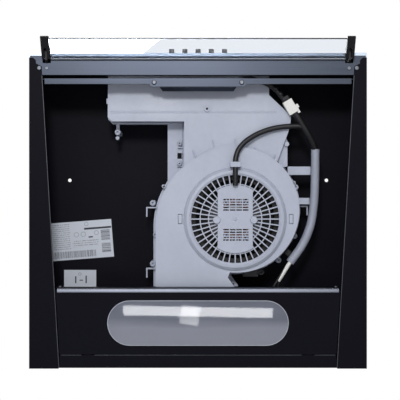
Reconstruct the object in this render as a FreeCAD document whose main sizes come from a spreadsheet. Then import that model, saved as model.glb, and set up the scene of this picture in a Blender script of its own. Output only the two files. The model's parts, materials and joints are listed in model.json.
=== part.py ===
import FreeCAD, Part
import Sketcher
import math
import os
import re

# Slim under-cabinet cooker hood with its grease filter taken out.
# Millimetres. X runs to the right, Y from the front fascia to the rear wall, Z up.
# The origin is midway between the two cabinet screw holes, on the roof's outer face.

doc = FreeCAD.newDocument("CookerHood")
sheet = doc.addObject("Spreadsheet::Sheet", "Dims")

SIZES = [
    # body shell
    ("hood_width", 500), ("hood_height", 120), ("front_y", -187), ("rear_y", 281), ("gauge", 1),
    ("hole_pitch", 408), ("hole_radius", 2.75),
    ("flange_start", -179.5), ("flange_nose", 10), ("flange_front", 18.5), ("flange_rear", 43.8),
    ("nose_end", -171), ("taper_start", -166.5), ("lip_height", 8),
    ("corner_screw_inset", 15), ("corner_screw_y", -164),
    ("rear_strip", 20), ("rear_lip", 6), ("tab_x", 163), ("tab_width", 16),
    # fascia, beam and rails at the front
    ("fascia_bottom", -118.5), ("fascia_top", -68), ("fascia_gauge", 1.2), ("fascia_return", 4.5),
    ("beam_front", -182), ("beam_rear", -154), ("beam_under", -119), ("beam_lip", 7), ("beam_wall", 18),
    ("rail_front", -149.3), ("rail_rear", -141.1), ("rail_under", -114), ("rail_wall", 14),
    ("rail_half", 228),
    ("bracket_half", 72.5), ("bracket_front", -149.3), ("bracket_rear", -136.7), ("bracket_gauge", 2),
    ("bracket_screw_x", 65), ("bracket_screw_y", -143.3),
    ("vent_slot_length", 24), ("vent_slot_height", 4), ("vent_pitch_x", 30), ("vent_pitch_z", 12),
    # push buttons and their switch module
    ("button_radius", 4), ("button_pitch", 19.8), ("button_z", -100), ("button_proud", 8.5),
    ("button_play", 0.3), ("collar_radius", 5.5), ("stem_radius", 2.5),
    ("module_half", 56), ("module_depth", 24), ("module_height", 20), ("module_bore", 6.2),
    # glass visor
    ("pivot_y", -191), ("pivot_z", -123.5), ("visor_tilt", 35), ("visor_offset", 8),
    ("arm_x", 224), ("arm_width", 12), ("arm_gauge", 7), ("arm_tail", 10), ("arm_reach", 26),
    ("fork_gap", 4), ("fork_depth", 8), ("tongue_width", 3.4), ("eye_radius", 4), ("tongue_radius", 3.5),
    ("pin_radius", 1.5), ("pin_play", 0.05), ("glass_gauge", 4), ("glass_inner", 11), ("glass_outer", 22),
    # lamp
    ("lamp_front", 168), ("lamp_rear", 260), ("lamp_under", -119), ("lamp_half_front", 210.6),
    ("lamp_half_rear", 205.4), ("lamp_roll", 6.5), ("lamp_wall", 16),
    ("lens_y", 213.5), ("lens_width", 67), ("lens_length", 269), ("lens_gauge", 2.2), ("lens_rim", 4),
    ("tray_half", 128), ("tray_depth", 54), ("tray_top", -70), ("tray_gauge", 0.8),
    ("bulb_radius", 17.5), ("bulb_z", -92), ("socket_radius", 14),
    # fan housing
    ("fan_x", 56), ("fan_y", 60), ("disc_x", 58), ("disc_y", 46), ("disc_radius", 95),
    ("spiral_step", 27),
    ("housing_wall", 2.2), ("disc_face", -88), ("box_face", -80), ("parting_z", -46), ("housing_top", -3),
    ("seam_lip", 5), ("seam_gap", 0.3), ("hub_eye", 12), ("duct_end", 165), ("duct_right", 57),
    ("stem_left", -21), ("stem_step", 24),
    ("box_left", -137), ("box_rear", -88), ("box_front", -183),
    # inlet grille and motor
    ("grille_outer", 77.6), ("slot_outer", 66.3), ("rib_count", 44), ("rib_width", 1.7),
    ("rib_face", -92),
    ("rib_depth", 3), ("ring_one", 52.8), ("ring_two", 40.1), ("ring_width", 1.5),
    ("cap_half", 26.4), ("cap_radius", 51.3), ("cap_face", -95), ("cap_gauge", 3), ("knob_x", 28),
    ("shaft_radius", 4), ("bearing_radius", 9), ("stator_radius", 40), ("frame_radius", 42),
    ("rotor_radius", 20), ("wheel_radius", 72), ("wheel_inner", 60), ("wheel_top", -22),
    ("wheel_face", -82),
    ("blade_count", 36), ("blade_gauge", 1.2),
    # outlet
    ("outlet_x", 0), ("outlet_y", 218), ("outlet_radius", 49.5), ("outlet_gauge", 1.8),
    ("outlet_height", 34),
    ("duct_floor", -66), ("duct_rear", 272), ("flap_radius", 46.8), ("flap_gauge", 1.2),
    ("flap_pin_y", 3.2),
    ("flap_z", 10), ("flap_pin_radius", 1.5),
    # leads and conduit
    ("lead_radius", 4), ("conduit_radius", 6.4), ("conduit_wall", 1.4), ("sleeve_radius", 5.2),
    ("lamp_lead_radius", 1.8),
]
ALIASES = {alias for alias, value in SIZES}
for row, (alias, value) in enumerate(SIZES, start=1):
    sheet.set("A%d" % row, alias)
    sheet.set("B%d" % row, str(value))
    sheet.setAlias("B%d" % row, alias)
doc.recompute()

NODES = []


def val(alias):
    """A driving dimension as a number."""
    return float(sheet.get(alias))


def link(text):
    """An expression on the sheet's cells, from plain alias names."""
    def cell(word):
        return "Dims." + word.group(0) if word.group(0) in ALIASES else word.group(0)

    return re.sub(r"[a-z_]+", cell, text)


def bind(obj, prop, text):
    obj.setExpression(prop, link(text))


def place(obj, x, y, z):
    for axis, text in (("x", x), ("y", y), ("z", z)):
        bind(obj, "Placement.Base." + axis, text)


def node(obj, name):
    """Marks an object as a sub-part and labels it."""
    obj.Label = name
    NODES.append(obj)
    return obj


# ---------------------------------------------------------------- primitives

def box(name, size, corner):
    obj = doc.addObject("Part::Box", name)
    for prop, text in zip(("Length", "Width", "Height"), size):
        bind(obj, prop, text)
    place(obj, *corner)
    return obj


TURNS = {
    "Z": FreeCAD.Rotation(),
    "X": FreeCAD.Rotation(FreeCAD.Vector(0, 1, 0), 90),
    "Y": FreeCAD.Rotation(FreeCAD.Vector(1, 0, 0), -90),
}


def rod(name, radius, length, start, axis="Z"):
    """A cylinder that starts at a point and runs along +X, +Y or +Z."""
    obj = doc.addObject("Part::Cylinder", name)
    obj.Placement = FreeCAD.Placement(FreeCAD.Vector(), TURNS[axis])
    bind(obj, "Radius", radius)
    bind(obj, "Height", length)
    place(obj, *start)
    return obj


def fuse(name, parts):
    obj = doc.addObject("Part::MultiFuse", name)
    obj.Shapes = parts
    return obj


def cut(name, base, tools):
    obj = doc.addObject("Part::Cut", name)
    obj.Base = base
    obj.Tool = tools[0] if len(tools) == 1 else fuse(name + "_tools", tools)
    return obj


def common(name, base, tool):
    obj = doc.addObject("Part::Common", name)
    obj.Base = base
    obj.Tool = tool
    return obj


def mirrored(name, source):
    """The same piece on the other side of the hood's centre plane."""
    obj = doc.addObject("Part::Mirroring", name)
    obj.Source = source
    obj.Normal = FreeCAD.Vector(1, 0, 0)
    obj.Base = FreeCAD.Vector(0, 0, 0)
    return obj


def feature(name, shape):
    obj = doc.addObject("Part::Feature", name)
    obj.Shape = shape
    return obj


# ------------------------------------------------------ sketched PartDesign bodies

def new_body(name):
    return doc.addObject("PartDesign::Body", name)


def new_sketch(body, name, plane, height="0"):
    sketch = body.newObject("Sketcher::SketchObject", name)
    origin_plane = [item for item in body.Origin.OriginFeatures if item.Role == plane][0]
    sketch.AttachmentSupport = [(origin_plane, "")]
    sketch.MapMode = "FlatFace"
    bind(sketch, "AttachmentOffset.Base.z", height)
    return sketch


def pin_point(sketch, geometry, end, start, x, y):
    """Ties a point to the sketch's origin with two bound distances."""
    for kind, number, text in (("DistanceX", start.x, x), ("DistanceY", start.y, y)):
        index = sketch.addConstraint(Sketcher.Constraint(kind, -1, 1, geometry, end, number))
        bind(sketch, "Constraints[%d]" % index, text)


def polygon(sketch, corners):
    """A closed outline whose corners are given as expressions."""
    count = len(corners)
    first = sketch.GeometryCount
    ring = []
    for i in range(count):
        angle = 2 * math.pi * i / count
        ring.append(FreeCAD.Vector(90 * math.cos(angle), 90 * math.sin(angle), 0))
    for i in range(count):
        sketch.addGeometry(Part.LineSegment(ring[i], ring[(i + 1) % count]), False)
    for i in range(count):
        sketch.addConstraint(Sketcher.Constraint("Coincident", first + i, 2, first + (i + 1) % count, 1))
    for i, (x, y) in enumerate(corners):
        pin_point(sketch, first + i, 1, ring[i], x, y)


def circle(sketch, x, y, radius):
    centre = FreeCAD.Vector(11, 7, 0)
    index = sketch.addGeometry(Part.Circle(centre, FreeCAD.Vector(0, 0, 1), 5), False)
    pin_point(sketch, index, 3, centre, x, y)
    size = sketch.addConstraint(Sketcher.Constraint("Radius", index, 5))
    bind(sketch, "Constraints[%d]" % size, radius)


def rectangle(sketch, x0, y0, x1, y1):
    polygon(sketch, [(x0, y0), (x1, y0), (x1, y1), (x0, y1)])


def pad(body, sketch, length, both_ways=False, reverse=False):
    obj = body.newObject("PartDesign::Pad", sketch.Name + "_pad")
    obj.Profile = sketch
    bind(obj, "Length", length)
    obj.SideType = "Symmetric" if both_ways else "One side"
    obj.Reversed = reverse
    return obj


def pocket(body, sketch, length, both_ways=True, reverse=False):
    obj = body.newObject("PartDesign::Pocket", sketch.Name + "_pocket")
    obj.Profile = sketch
    bind(obj, "Length", length)
    obj.SideType = "Symmetric" if both_ways else "One side"
    obj.Reversed = reverse
    return obj


# ------------------------------------------------------------------- body shell

def roof_panel():
    plate = box("roof_plate", ("hood_width - 2 * gauge", "rear_y - front_y - 4 * gauge", "gauge"),
                ("gauge - hood_width / 2", "front_y + 3 * gauge", "-gauge"))
    holes = [
        rod("roof_hole_left", "hole_radius", "4 * gauge", ("-hole_pitch / 2", "0", "-2 * gauge")),
        rod("roof_hole_right", "hole_radius", "4 * gauge", ("hole_pitch / 2", "0", "-2 * gauge")),
        rod("roof_outlet", "outlet_radius - outlet_gauge", "4 * gauge",
            ("outlet_x", "outlet_y", "-2 * gauge")),
        rod("roof_cord_hole", "6", "4 * gauge", ("-150", "232", "-2 * gauge")),
    ]
    node(cut("roof_shape", plate, holes), "roof_panel")


def side_panels():
    """A vertical wall with a tapered flange under it and a short lip along the flange's inner edge."""
    body = new_body("side_wall")
    wall = new_sketch(body, "wall_plan", "XY_Plane", "-hood_height")
    rectangle(wall, "-hood_width / 2", "flange_start", "gauge - hood_width / 2", "rear_y")
    pad(body, wall, "hood_height")
    flange = new_sketch(body, "flange_plan", "XY_Plane", "-hood_height")
    polygon(flange, [
        ("-hood_width / 2", "flange_start"),
        ("flange_nose - 4 - hood_width / 2", "flange_start"),
        ("flange_nose - hood_width / 2", "flange_start + 4"),
        ("flange_nose - hood_width / 2", "nose_end"),
        ("flange_front - hood_width / 2", "taper_start"),
        ("flange_rear - hood_width / 2", "rear_y"),
        ("-hood_width / 2", "rear_y"),
    ])
    pad(body, flange, "gauge")
    hole = new_sketch(body, "flange_hole", "XY_Plane", "-hood_height")
    circle(hole, "corner_screw_inset - hood_width / 2", "corner_screw_y", "1.6")
    pocket(body, hole, "4 * gauge")
    lip = new_sketch(body, "lip_plan", "XY_Plane", "-hood_height")
    polygon(lip, [
        ("flange_front - gauge - hood_width / 2", "beam_rear + gauge"),
        ("flange_front + 0.35 - hood_width / 2", "beam_rear + gauge"),
        ("flange_rear - hood_width / 2", "rear_y - 2 * gauge"),
        ("flange_rear - 1.4 * gauge - hood_width / 2", "rear_y - 2 * gauge"),
    ])
    pad(body, lip, "lip_height")
    left = node(body, "side_panel_left")
    node(mirrored("side_wall_mirror", left), "side_panel_right")


def rear_panel():
    body = new_body("rear_wall")
    profile = new_sketch(body, "rear_profile", "YZ_Plane")
    polygon(profile, [
        ("rear_y - gauge", "-gauge"), ("rear_y - 2 * gauge", "-gauge"),
        ("rear_y - 2 * gauge", "2 * gauge - hood_height"),
        ("rear_y - rear_strip + gauge", "2 * gauge - hood_height"),
        ("rear_y - rear_strip + gauge", "gauge + rear_lip - hood_height"),
        ("rear_y - rear_strip", "gauge + rear_lip - hood_height"),
        ("rear_y - rear_strip", "gauge - hood_height"), ("rear_y - gauge", "gauge - hood_height"),
    ])
    pad(body, profile, "hood_width - 2 * gauge", both_ways=True)
    gaps = new_sketch(body, "tab_gaps", "XZ_Plane", "-rear_y + rear_strip")
    for side in ("-", ""):
        rectangle(gaps, side + "tab_x - tab_width / 2", "2.2 * gauge - hood_height",
                  side + "tab_x + tab_width / 2", "5 + rear_lip - hood_height")
    pocket(body, gaps, "4 * gauge")
    trims = new_sketch(body, "flange_clearance", "XY_Plane", "-hood_height")
    for side in ("-1", "1"):
        rectangle(trims, side + " * (hood_width / 2)", "rear_y - rear_strip - 5",
                  side + " * (hood_width / 2 - flange_rear - 1)", "rear_y - 2 * gauge")
    pocket(body, trims, "2 * (lip_height + 3)")
    node(body, "rear_panel")


def front_panel():
    """The painted sheet above the fascia, with slots for recirculated air."""
    sheet_metal = box("front_sheet", ("hood_width - 2 * gauge", "gauge", "-gauge - fascia_top"),
                      ("gauge - hood_width / 2", "front_y + 2 * gauge", "fascia_top"))
    slots = []
    for row in range(3):
        for column in range(8):
            x = "%.1f * vent_pitch_x - vent_slot_length / 2 - 14" % (column - 3.5)
            slots.append(box("vent_%d_%d" % (row, column), ("vent_slot_length", "6", "vent_slot_height"),
                             (x, "front_y", "fascia_top + 14 + %d * vent_pitch_z" % row)))
    node(cut("front_shape", sheet_metal, slots), "front_panel")


def front_fascia():
    body = new_body("fascia")
    profile = new_sketch(body, "fascia_profile", "YZ_Plane")
    polygon(profile, [
        ("front_y", "fascia_bottom"), ("front_y + fascia_return", "fascia_bottom"),
        ("front_y + fascia_return", "fascia_bottom + fascia_gauge"),
        ("front_y + fascia_gauge", "fascia_bottom + fascia_gauge"),
        ("front_y + fascia_gauge", "fascia_top"), ("front_y", "fascia_top"),
    ])
    pad(body, profile, "hood_width", both_ways=True)
    ends = new_sketch(body, "fascia_ends", "XY_Plane", "fascia_bottom")
    rectangle(ends, "-hood_width / 2", "front_y", "fascia_gauge - hood_width / 2", "flange_start - 0.3")
    rectangle(ends, "hood_width / 2 - fascia_gauge", "front_y", "hood_width / 2", "flange_start - 0.3")
    pad(body, ends, "fascia_top - fascia_bottom")
    holes = new_sketch(body, "button_holes", "XZ_Plane", "-front_y")
    for index in range(-2, 3):
        circle(holes, "%d * button_pitch" % index if index else "0.001", "button_z",
               "button_radius + button_play")
    pocket(body, holes, "6 * fascia_gauge")
    node(body, "front_fascia")


def front_beam():
    body = new_body("beam")
    profile = new_sketch(body, "beam_profile", "YZ_Plane")
    polygon(profile, [
        ("beam_front", "beam_under"), ("beam_rear", "beam_under"),
        ("beam_rear", "beam_under + beam_wall"), ("beam_rear - gauge", "beam_under + beam_wall"),
        ("beam_rear - gauge", "beam_under + gauge"), ("beam_front + gauge", "beam_under + gauge"),
        ("beam_front + gauge", "beam_under + beam_lip"), ("beam_front", "beam_under + beam_lip"),
    ])
    pad(body, profile, "hood_width - 2 * gauge - 0.6", both_ways=True)
    slots = new_sketch(body, "hinge_slots", "XY_Plane", "beam_under")
    for side in (-1, 1):
        rectangle(slots, "%d * arm_x - arm_width / 2" % side, "beam_front + 3",
                  "%d * arm_x + arm_width / 2" % side, "beam_front + 10.5")
        circle(slots, "%d * arm_x" % side, "corner_screw_y", "1.6")
        circle(slots, "%d * (hood_width / 2 - corner_screw_inset)" % side, "corner_screw_y", "1.6")
    pocket(body, slots, "4 * gauge")
    node(body, "front_beam")


def filter_rail():
    body = new_body("rail")
    profile = new_sketch(body, "rail_profile", "YZ_Plane")
    polygon(profile, [
        ("rail_front", "rail_under"), ("rail_rear", "rail_under"), ("rail_rear", "rail_under + 3"),
        ("rail_rear - gauge", "rail_under + 3"), ("rail_rear - gauge", "rail_under + gauge"),
        ("rail_front + gauge", "rail_under + gauge"), ("rail_front + gauge", "rail_under + rail_wall"),
        ("rail_front", "rail_under + rail_wall"),
    ])
    pad(body, profile, "2 * rail_half", both_ways=True)
    ears = new_sketch(body, "rail_ears", "XZ_Plane", "-rail_front - gauge")
    rectangle(ears, "-hood_width / 2 + gauge", "rail_under + 5", "hood_width / 2 - gauge",
              "rail_under + rail_wall")
    pad(body, ears, "gauge")
    holes = new_sketch(body, "rail_holes", "XY_Plane", "rail_under")
    for side in ("-", ""):
        circle(holes, side + "bracket_screw_x", "bracket_screw_y", "1.7")
    pocket(body, holes, "4 * gauge")
    node(body, "filter_rail")


def switch_bracket():
    """The plate with round ends that closes the space under the switch wiring."""
    half_round = "(bracket_rear - bracket_front) / 2"
    plate = box("bracket_plate", ("2 * bracket_half - 2 * " + half_round,
                                  "bracket_rear - bracket_front", "bracket_gauge"),
                (half_round + " - bracket_half", "bracket_front", "rail_under - bracket_gauge"))
    ends = []
    for side, sign in (("left", -1), ("right", 1)):
        ends.append(rod("bracket_end_" + side, half_round, "bracket_gauge",
                        ("%d * (bracket_half - %s)" % (sign, half_round), "bracket_front + " + half_round,
                         "rail_under - bracket_gauge")))
    lip = box("bracket_lip", ("2 * bracket_half - 16", "1.6", "4.5"),
              ("8 - bracket_half", "bracket_rear - 1.6", "rail_under - 3.5"))
    holes = []
    for side, sign in (("left", "-"), ("right", "")):
        holes.append(rod("bracket_hole_" + side, "1.7", "8",
                         (sign + "bracket_screw_x", "bracket_screw_y", "rail_under - 4")))
    node(cut("bracket_shape", fuse("bracket_body", [plate] + ends + [lip]), holes), "switch_bracket")


# ------------------------------------------------------------- switches and buttons

def switch_module():
    case = box("module_case", ("2 * module_half", "module_depth", "module_height"),
               ("-module_half", "front_y + fascia_gauge", "button_z - module_height / 2"))
    bores = []
    for index in range(-2, 3):
        bores.append(rod("module_bore_%d" % (index + 3), "module_bore", "14",
                         ("%d * button_pitch" % index, "front_y + fascia_gauge - 0.1", "button_z"),
                         axis="Y"))
    node(cut("module_shape", case, bores), "switch_module")


def push_button(number):
    """A round cap with a collar behind the fascia and a stem into the switch."""
    x = "%d * button_pitch" % (number - 3)
    cap = rod("cap_%d" % number, "button_radius", "button_proud + fascia_gauge + 0.5",
              (x, "front_y - button_proud", "button_z"), axis="Y")
    collar = rod("collar_%d" % number, "collar_radius", "2",
                 (x, "front_y + fascia_gauge + 0.4", "button_z"), axis="Y")
    stem = rod("stem_%d" % number, "stem_radius", "8",
               (x, "front_y + fascia_gauge + 2", "button_z"), axis="Y")
    node(fuse("button_shape_%d" % number, [cap, collar, stem]), "button_%d" % number)


# ------------------------------------------------------------------------- visor

def hinge_brackets():
    """A tongue that hangs out of the beam's slot and reaches forward to the visor's pivot."""
    body = new_body("hinge_left")
    tongue = new_sketch(body, "tongue_profile", "YZ_Plane", "-arm_x")
    polygon(tongue, [
        ("beam_front + 3.3", "beam_under + 9"), ("beam_front + 10", "beam_under + 9"),
        ("beam_front + 10", "pivot_z + 1"), ("beam_front + 7", "pivot_z - tongue_radius"),
        ("pivot_y", "pivot_z - tongue_radius"), ("pivot_y", "pivot_z + tongue_radius"),
        ("beam_front + 3.3", "pivot_z + tongue_radius"),
    ])
    pad(body, tongue, "tongue_width", both_ways=True)
    eye = new_sketch(body, "tongue_eye", "YZ_Plane", "-arm_x")
    circle(eye, "pivot_y", "pivot_z", "tongue_radius")
    pad(body, eye, "tongue_width", both_ways=True)
    foot = new_sketch(body, "tongue_foot", "XY_Plane", "beam_under + gauge")
    rectangle(foot, "-arm_x - 5.5", "beam_front + 10.6", "5.5 - arm_x", "beam_front + 24")
    pad(body, foot, "1.5")
    web = new_sketch(body, "tongue_web", "XY_Plane", "beam_under + gauge")
    rectangle(web, "-arm_x - tongue_width / 2", "beam_front + 9", "tongue_width / 2 - arm_x",
              "beam_front + 15")
    pad(body, web, "8")
    hole = new_sketch(body, "tongue_hole", "YZ_Plane", "-arm_x")
    circle(hole, "pivot_y", "pivot_z", "pin_radius")
    pocket(body, hole, "3 * tongue_width")
    foot_hole = new_sketch(body, "foot_hole", "XY_Plane", "beam_under + gauge")
    circle(foot_hole, "-arm_x", "corner_screw_y", "1.6")
    pocket(body, foot_hole, "6")
    left = node(body, "hinge_bracket_left")
    node(mirrored("hinge_mirror", left), "hinge_bracket_right")


def tilted(obj):
    """Turns a piece drawn flat about the pivot into the visor's open position."""
    turn = FreeCAD.Rotation(FreeCAD.Vector(1, 0, 0), val("visor_tilt"))
    obj.Placement = FreeCAD.Placement(FreeCAD.Vector(0, val("pivot_y"), val("pivot_z")), turn)
    return obj


def visor_arms():
    """Drawn with the pivot at the origin and the visor reaching along -Y below it."""
    body = new_body("arm_left")
    bar = new_sketch(body, "arm_profile", "YZ_Plane", "-arm_x")
    polygon(bar, [
        ("arm_tail", "-visor_offset - arm_gauge / 2"), ("arm_tail", "-visor_offset + arm_gauge / 2"),
        ("eye_radius", "-visor_offset + arm_gauge / 2"), ("eye_radius", "0.01"), ("-eye_radius", "0.01"),
        ("-2.2 * eye_radius", "-visor_offset + arm_gauge / 2"),
        ("3 - arm_reach", "-visor_offset + arm_gauge / 2"),
        ("-arm_reach", "-visor_offset + arm_gauge / 2 - 3"),
        ("-arm_reach", "-visor_offset - arm_gauge / 2"),
    ])
    pad(body, bar, "arm_width", both_ways=True)
    eye = new_sketch(body, "arm_eye", "YZ_Plane", "-arm_x")
    circle(eye, "0.001", "0.001", "eye_radius")
    pad(body, eye, "arm_width", both_ways=True)
    fork = new_sketch(body, "arm_fork", "XY_Plane", "-visor_offset")
    rectangle(fork, "-arm_x - fork_gap / 2", "-fork_depth", "fork_gap / 2 - arm_x", "arm_tail + 5")
    pocket(body, fork, "6 * arm_gauge")
    hole = new_sketch(body, "arm_hole", "YZ_Plane", "-arm_x")
    circle(hole, "0.001", "0.001", "pin_radius + pin_play")
    pocket(body, hole, "2 * arm_width")
    groove = new_sketch(body, "glass_groove", "YZ_Plane", "arm_width / 2 - arm_x - 2")
    rectangle(groove, "arm_tail + 3", "-visor_offset - glass_gauge / 2",
              "-glass_outer", "-visor_offset + glass_gauge / 2")
    pocket(body, groove, "5", both_ways=False, reverse=True)
    left = node(tilted(body), "visor_arm_left")
    node(mirrored("arm_mirror", left), "visor_arm_right")


def visor_glass():
    body = new_body("glass_pane")
    plan = new_sketch(body, "glass_plan", "XY_Plane", "-visor_offset - glass_gauge / 2")
    rectangle(plan, "arm_width / 2 - 2 - arm_x", "-glass_outer", "2 + arm_x - arm_width / 2",
              "glass_inner")
    pad(body, plan, "glass_gauge")
    node(tilted(body), "visor_glass")


def visor_pins():
    pins = []
    for side, start in (("left", "0.3 - arm_x - arm_width / 2"),
                        ("right", "0.3 + arm_x - arm_width / 2")):
        pins.append(rod("pin_" + side, "pin_radius", "arm_width - 0.6", (start, "pivot_y", "pivot_z"),
                        axis="X"))
    node(fuse("visor_pin_pair", pins), "visor_pins")


# -------------------------------------------------------------------------- lamp

def stadium(name, length, width, height, z):
    """A plate with two round ends, centred on the lens."""
    middle = box(name + "_mid", ("(%s) - (%s)" % (length, width), width, height),
                 ("((%s) - (%s)) / 2" % (width, length), "lens_y - (%s) / 2" % width, z))
    ends = []
    for side, sign in (("left", -1), ("right", 1)):
        ends.append(rod(name + "_end_" + side, "(%s) / 2" % width, height,
                        ("%d * ((%s) - (%s)) / 2" % (sign, length, width), "lens_y", z)))
    return fuse(name, [middle] + ends)


def lamp_panel():
    """The sheet under the rear of the hood, rolled up along its front edge."""
    body = new_body("lamp_sheet")
    plan = new_sketch(body, "lamp_plan", "XY_Plane", "lamp_under")
    polygon(plan, [
        ("-lamp_half_front", "lamp_front"), ("lamp_half_front", "lamp_front"),
        ("lamp_half_rear", "lamp_rear"), ("tab_x + tab_width / 2 - 2", "lamp_rear"),
        ("tab_x + tab_width / 2 - 2", "lamp_rear + 0.5"),
        ("tab_x - tab_width / 2 + 2", "lamp_rear + 0.5"),
        ("tab_x - tab_width / 2 + 2", "lamp_rear"), ("-lamp_half_rear", "lamp_rear"),
    ])
    pad(body, plan, "gauge")
    wall = new_sketch(body, "lamp_wall_profile", "YZ_Plane")
    rectangle(wall, "lamp_front - lamp_roll", "lamp_under + lamp_roll",
              "lamp_front - lamp_roll + gauge", "lamp_under + lamp_roll + lamp_wall")
    pad(body, wall, "2 * lamp_half_front", both_ways=True)
    roll_outer = rod("roll_outer", "lamp_roll", "2 * lamp_half_front",
                     ("-lamp_half_front", "lamp_front", "lamp_under + lamp_roll"), axis="X")
    roll_inner = rod("roll_inner", "lamp_roll - gauge", "2 * lamp_half_front + 2",
                     ("-lamp_half_front - 1", "lamp_front", "lamp_under + lamp_roll"), axis="X")
    roll_keep = box("roll_keep", ("2 * lamp_half_front", "lamp_roll", "lamp_roll"),
                    ("-lamp_half_front", "lamp_front - lamp_roll", "lamp_under"))
    roll = common("roll_quarter", cut("roll_tube", roll_outer, [roll_inner]), roll_keep)
    tabs = []
    for side, sign in (("left", -1), ("right", 1)):
        tabs.append(box("lamp_tab_" + side, ("tab_width - 4", "9", "gauge"),
                        ("%d * tab_x - tab_width / 2 + 2" % sign, "lamp_rear - 2",
                         "2.4 * gauge - hood_height")))
        tabs.append(box("lamp_tab_step_" + side, ("tab_width - 4", "2", "2.4 * gauge"),
                        ("%d * tab_x - tab_width / 2 + 2" % sign, "lamp_rear - 2", "lamp_under")))
    solid = fuse("lamp_panel_solid", [body, roll] + tabs)
    opening = stadium("lens_opening", "lens_length", "lens_width", "6", "lamp_under - 2")
    node(cut("lamp_panel_shape", solid, [opening]), "lamp_panel")


def lamp_lens():
    """A shallow clear dish that drops through the panel and rests on its rim."""
    skirt = stadium("lens_skirt", "lens_length - 0.4", "lens_width - 0.4", "4", "lamp_under - 1")
    rim = stadium("lens_flange", "lens_length + 2 * lens_rim", "lens_width + 2 * lens_rim", "1.5",
                  "lamp_under + gauge")
    hollow = stadium("lens_hollow", "lens_length - 2 * lens_gauge", "lens_width - 2 * lens_gauge", "8",
                     "lamp_under - 1 + lens_gauge")
    node(cut("lens_shape", fuse("lens_solid", [skirt, rim]), [hollow]), "lamp_lens")


def lamp_reflector():
    outer = box("tray_outer", ("2 * tray_half", "tray_depth", "tray_top - lamp_under - 6"),
                ("-tray_half", "lens_y - tray_depth / 2", "lamp_under + 6"))
    inner = box("tray_inner", ("2 * tray_half - 2 * tray_gauge", "tray_depth - 2 * tray_gauge",
                               "tray_top - lamp_under - 6"),
                ("tray_gauge - tray_half", "lens_y - tray_depth / 2 + tray_gauge",
                 "lamp_under + 6 - tray_gauge"))
    lead_hole = rod("tray_lead_hole", "lamp_lead_radius + 1.6", "20",
                    ("104", "lens_y - tray_depth / 2 - 10", "bulb_z"), axis="Y")
    node(cut("tray_shape", outer, [inner, lead_hole]), "lamp_reflector")


def lamp_socket():
    barrel = rod("socket_barrel", "socket_radius", "34", ("62", "lens_y", "bulb_z"), axis="X")
    base = box("socket_base", ("14", "30", "tray_top - tray_gauge - bulb_z"),
               ("82", "lens_y - 15", "bulb_z"))
    mouth = rod("socket_mouth", "7.2", "24", ("61", "lens_y", "bulb_z"), axis="X")
    node(cut("socket_shape", fuse("socket_solid", [barrel, base]), [mouth]), "lamp_socket")


def lamp_bulb():
    """A candle bulb: its outline is turned about the lamp's own axis."""
    radius = val("bulb_radius")
    profile = [
        FreeCAD.Vector(85, 0, 0), FreeCAD.Vector(85, 5, 0), FreeCAD.Vector(82, 7, 0),
        FreeCAD.Vector(60, 7, 0), FreeCAD.Vector(54, 9, 0), FreeCAD.Vector(38, radius - 2, 0),
        FreeCAD.Vector(20, radius, 0), FreeCAD.Vector(-4, radius - 5, 0), FreeCAD.Vector(-28, 3, 0),
        FreeCAD.Vector(-31, 0, 0),
    ]
    curve = Part.BSplineCurve()
    curve.interpolate(profile[3:9])
    edges = [
        Part.LineSegment(profile[0], profile[1]).toShape(),
        Part.LineSegment(profile[1], profile[2]).toShape(),
        Part.LineSegment(profile[2], profile[3]).toShape(), curve.toShape(),
        Part.LineSegment(profile[8], profile[9]).toShape(),
        Part.LineSegment(profile[9], profile[0]).toShape(),
    ]
    face = Part.Face(Part.Wire(edges))
    bulb = feature("bulb_shape", face.revolve(FreeCAD.Vector(), FreeCAD.Vector(1, 0, 0), 360))
    bulb.Placement = FreeCAD.Placement(FreeCAD.Vector(0, val("lens_y"), val("bulb_z")),
                                       FreeCAD.Rotation())
    node(bulb, "lamp_bulb")


# ------------------------------------------------------------------- fan housing

def arc(centre, radius, start, middle, end):
    """An arc through three angles, in degrees."""
    points = []
    for angle in (start, middle, end):
        points.append(centre + FreeCAD.Vector(radius * math.cos(math.radians(angle)),
                                              radius * math.sin(math.radians(angle)), 0))
    return Part.Arc(*points)


def closed_face(pieces):
    """A face from arcs and lines, closed with straight lines between neighbours."""
    edges = []
    for index, piece in enumerate(pieces):
        edges.append(piece.toShape())
        following = pieces[(index + 1) % len(pieces)]
        end, start = piece.EndPoint, following.StartPoint
        if end.distanceToPoint(start) > 0.01:
            edges.append(Part.LineSegment(end, start).toShape())
    return Part.Face(Part.Wire(Part.__sortEdges__(edges)))


def flat_face(points):
    corners = [FreeCAD.Vector(x, y, 0) for x, y in points]
    return Part.Face(Part.makePolygon(corners + corners[:1]))


def slab(face, low, high):
    """A prism over a plan outline between two heights."""
    shape = face.copy()
    shape.translate(FreeCAD.Vector(0, 0, low))
    return shape.extrude(FreeCAD.Vector(0, 0, high - low))


def scroll_plan():
    """The scroll: a round disc that opens into a wider arc and a straight duct to the rear."""
    disc = FreeCAD.Vector(val("disc_x"), val("disc_y"), 0)
    radius, step = val("disc_radius"), val("spiral_step")
    wide = disc + FreeCAD.Vector(0, step, 0)
    inner_arc = arc(disc, radius, 96, 0, -90)
    outer_arc = arc(wide, radius + step, -90, -135, -180)
    left = outer_arc.EndPoint.x
    end = val("duct_end")
    left_wall = Part.LineSegment(outer_arc.EndPoint, FreeCAD.Vector(left, end, 0))
    tongue = inner_arc.StartPoint
    right_wall = Part.LineSegment(FreeCAD.Vector(val("duct_right"), end, 0),
                                  tongue + FreeCAD.Vector(-3, 8, 0))
    return closed_face([inner_arc, outer_arc, left_wall, right_wall])


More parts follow.
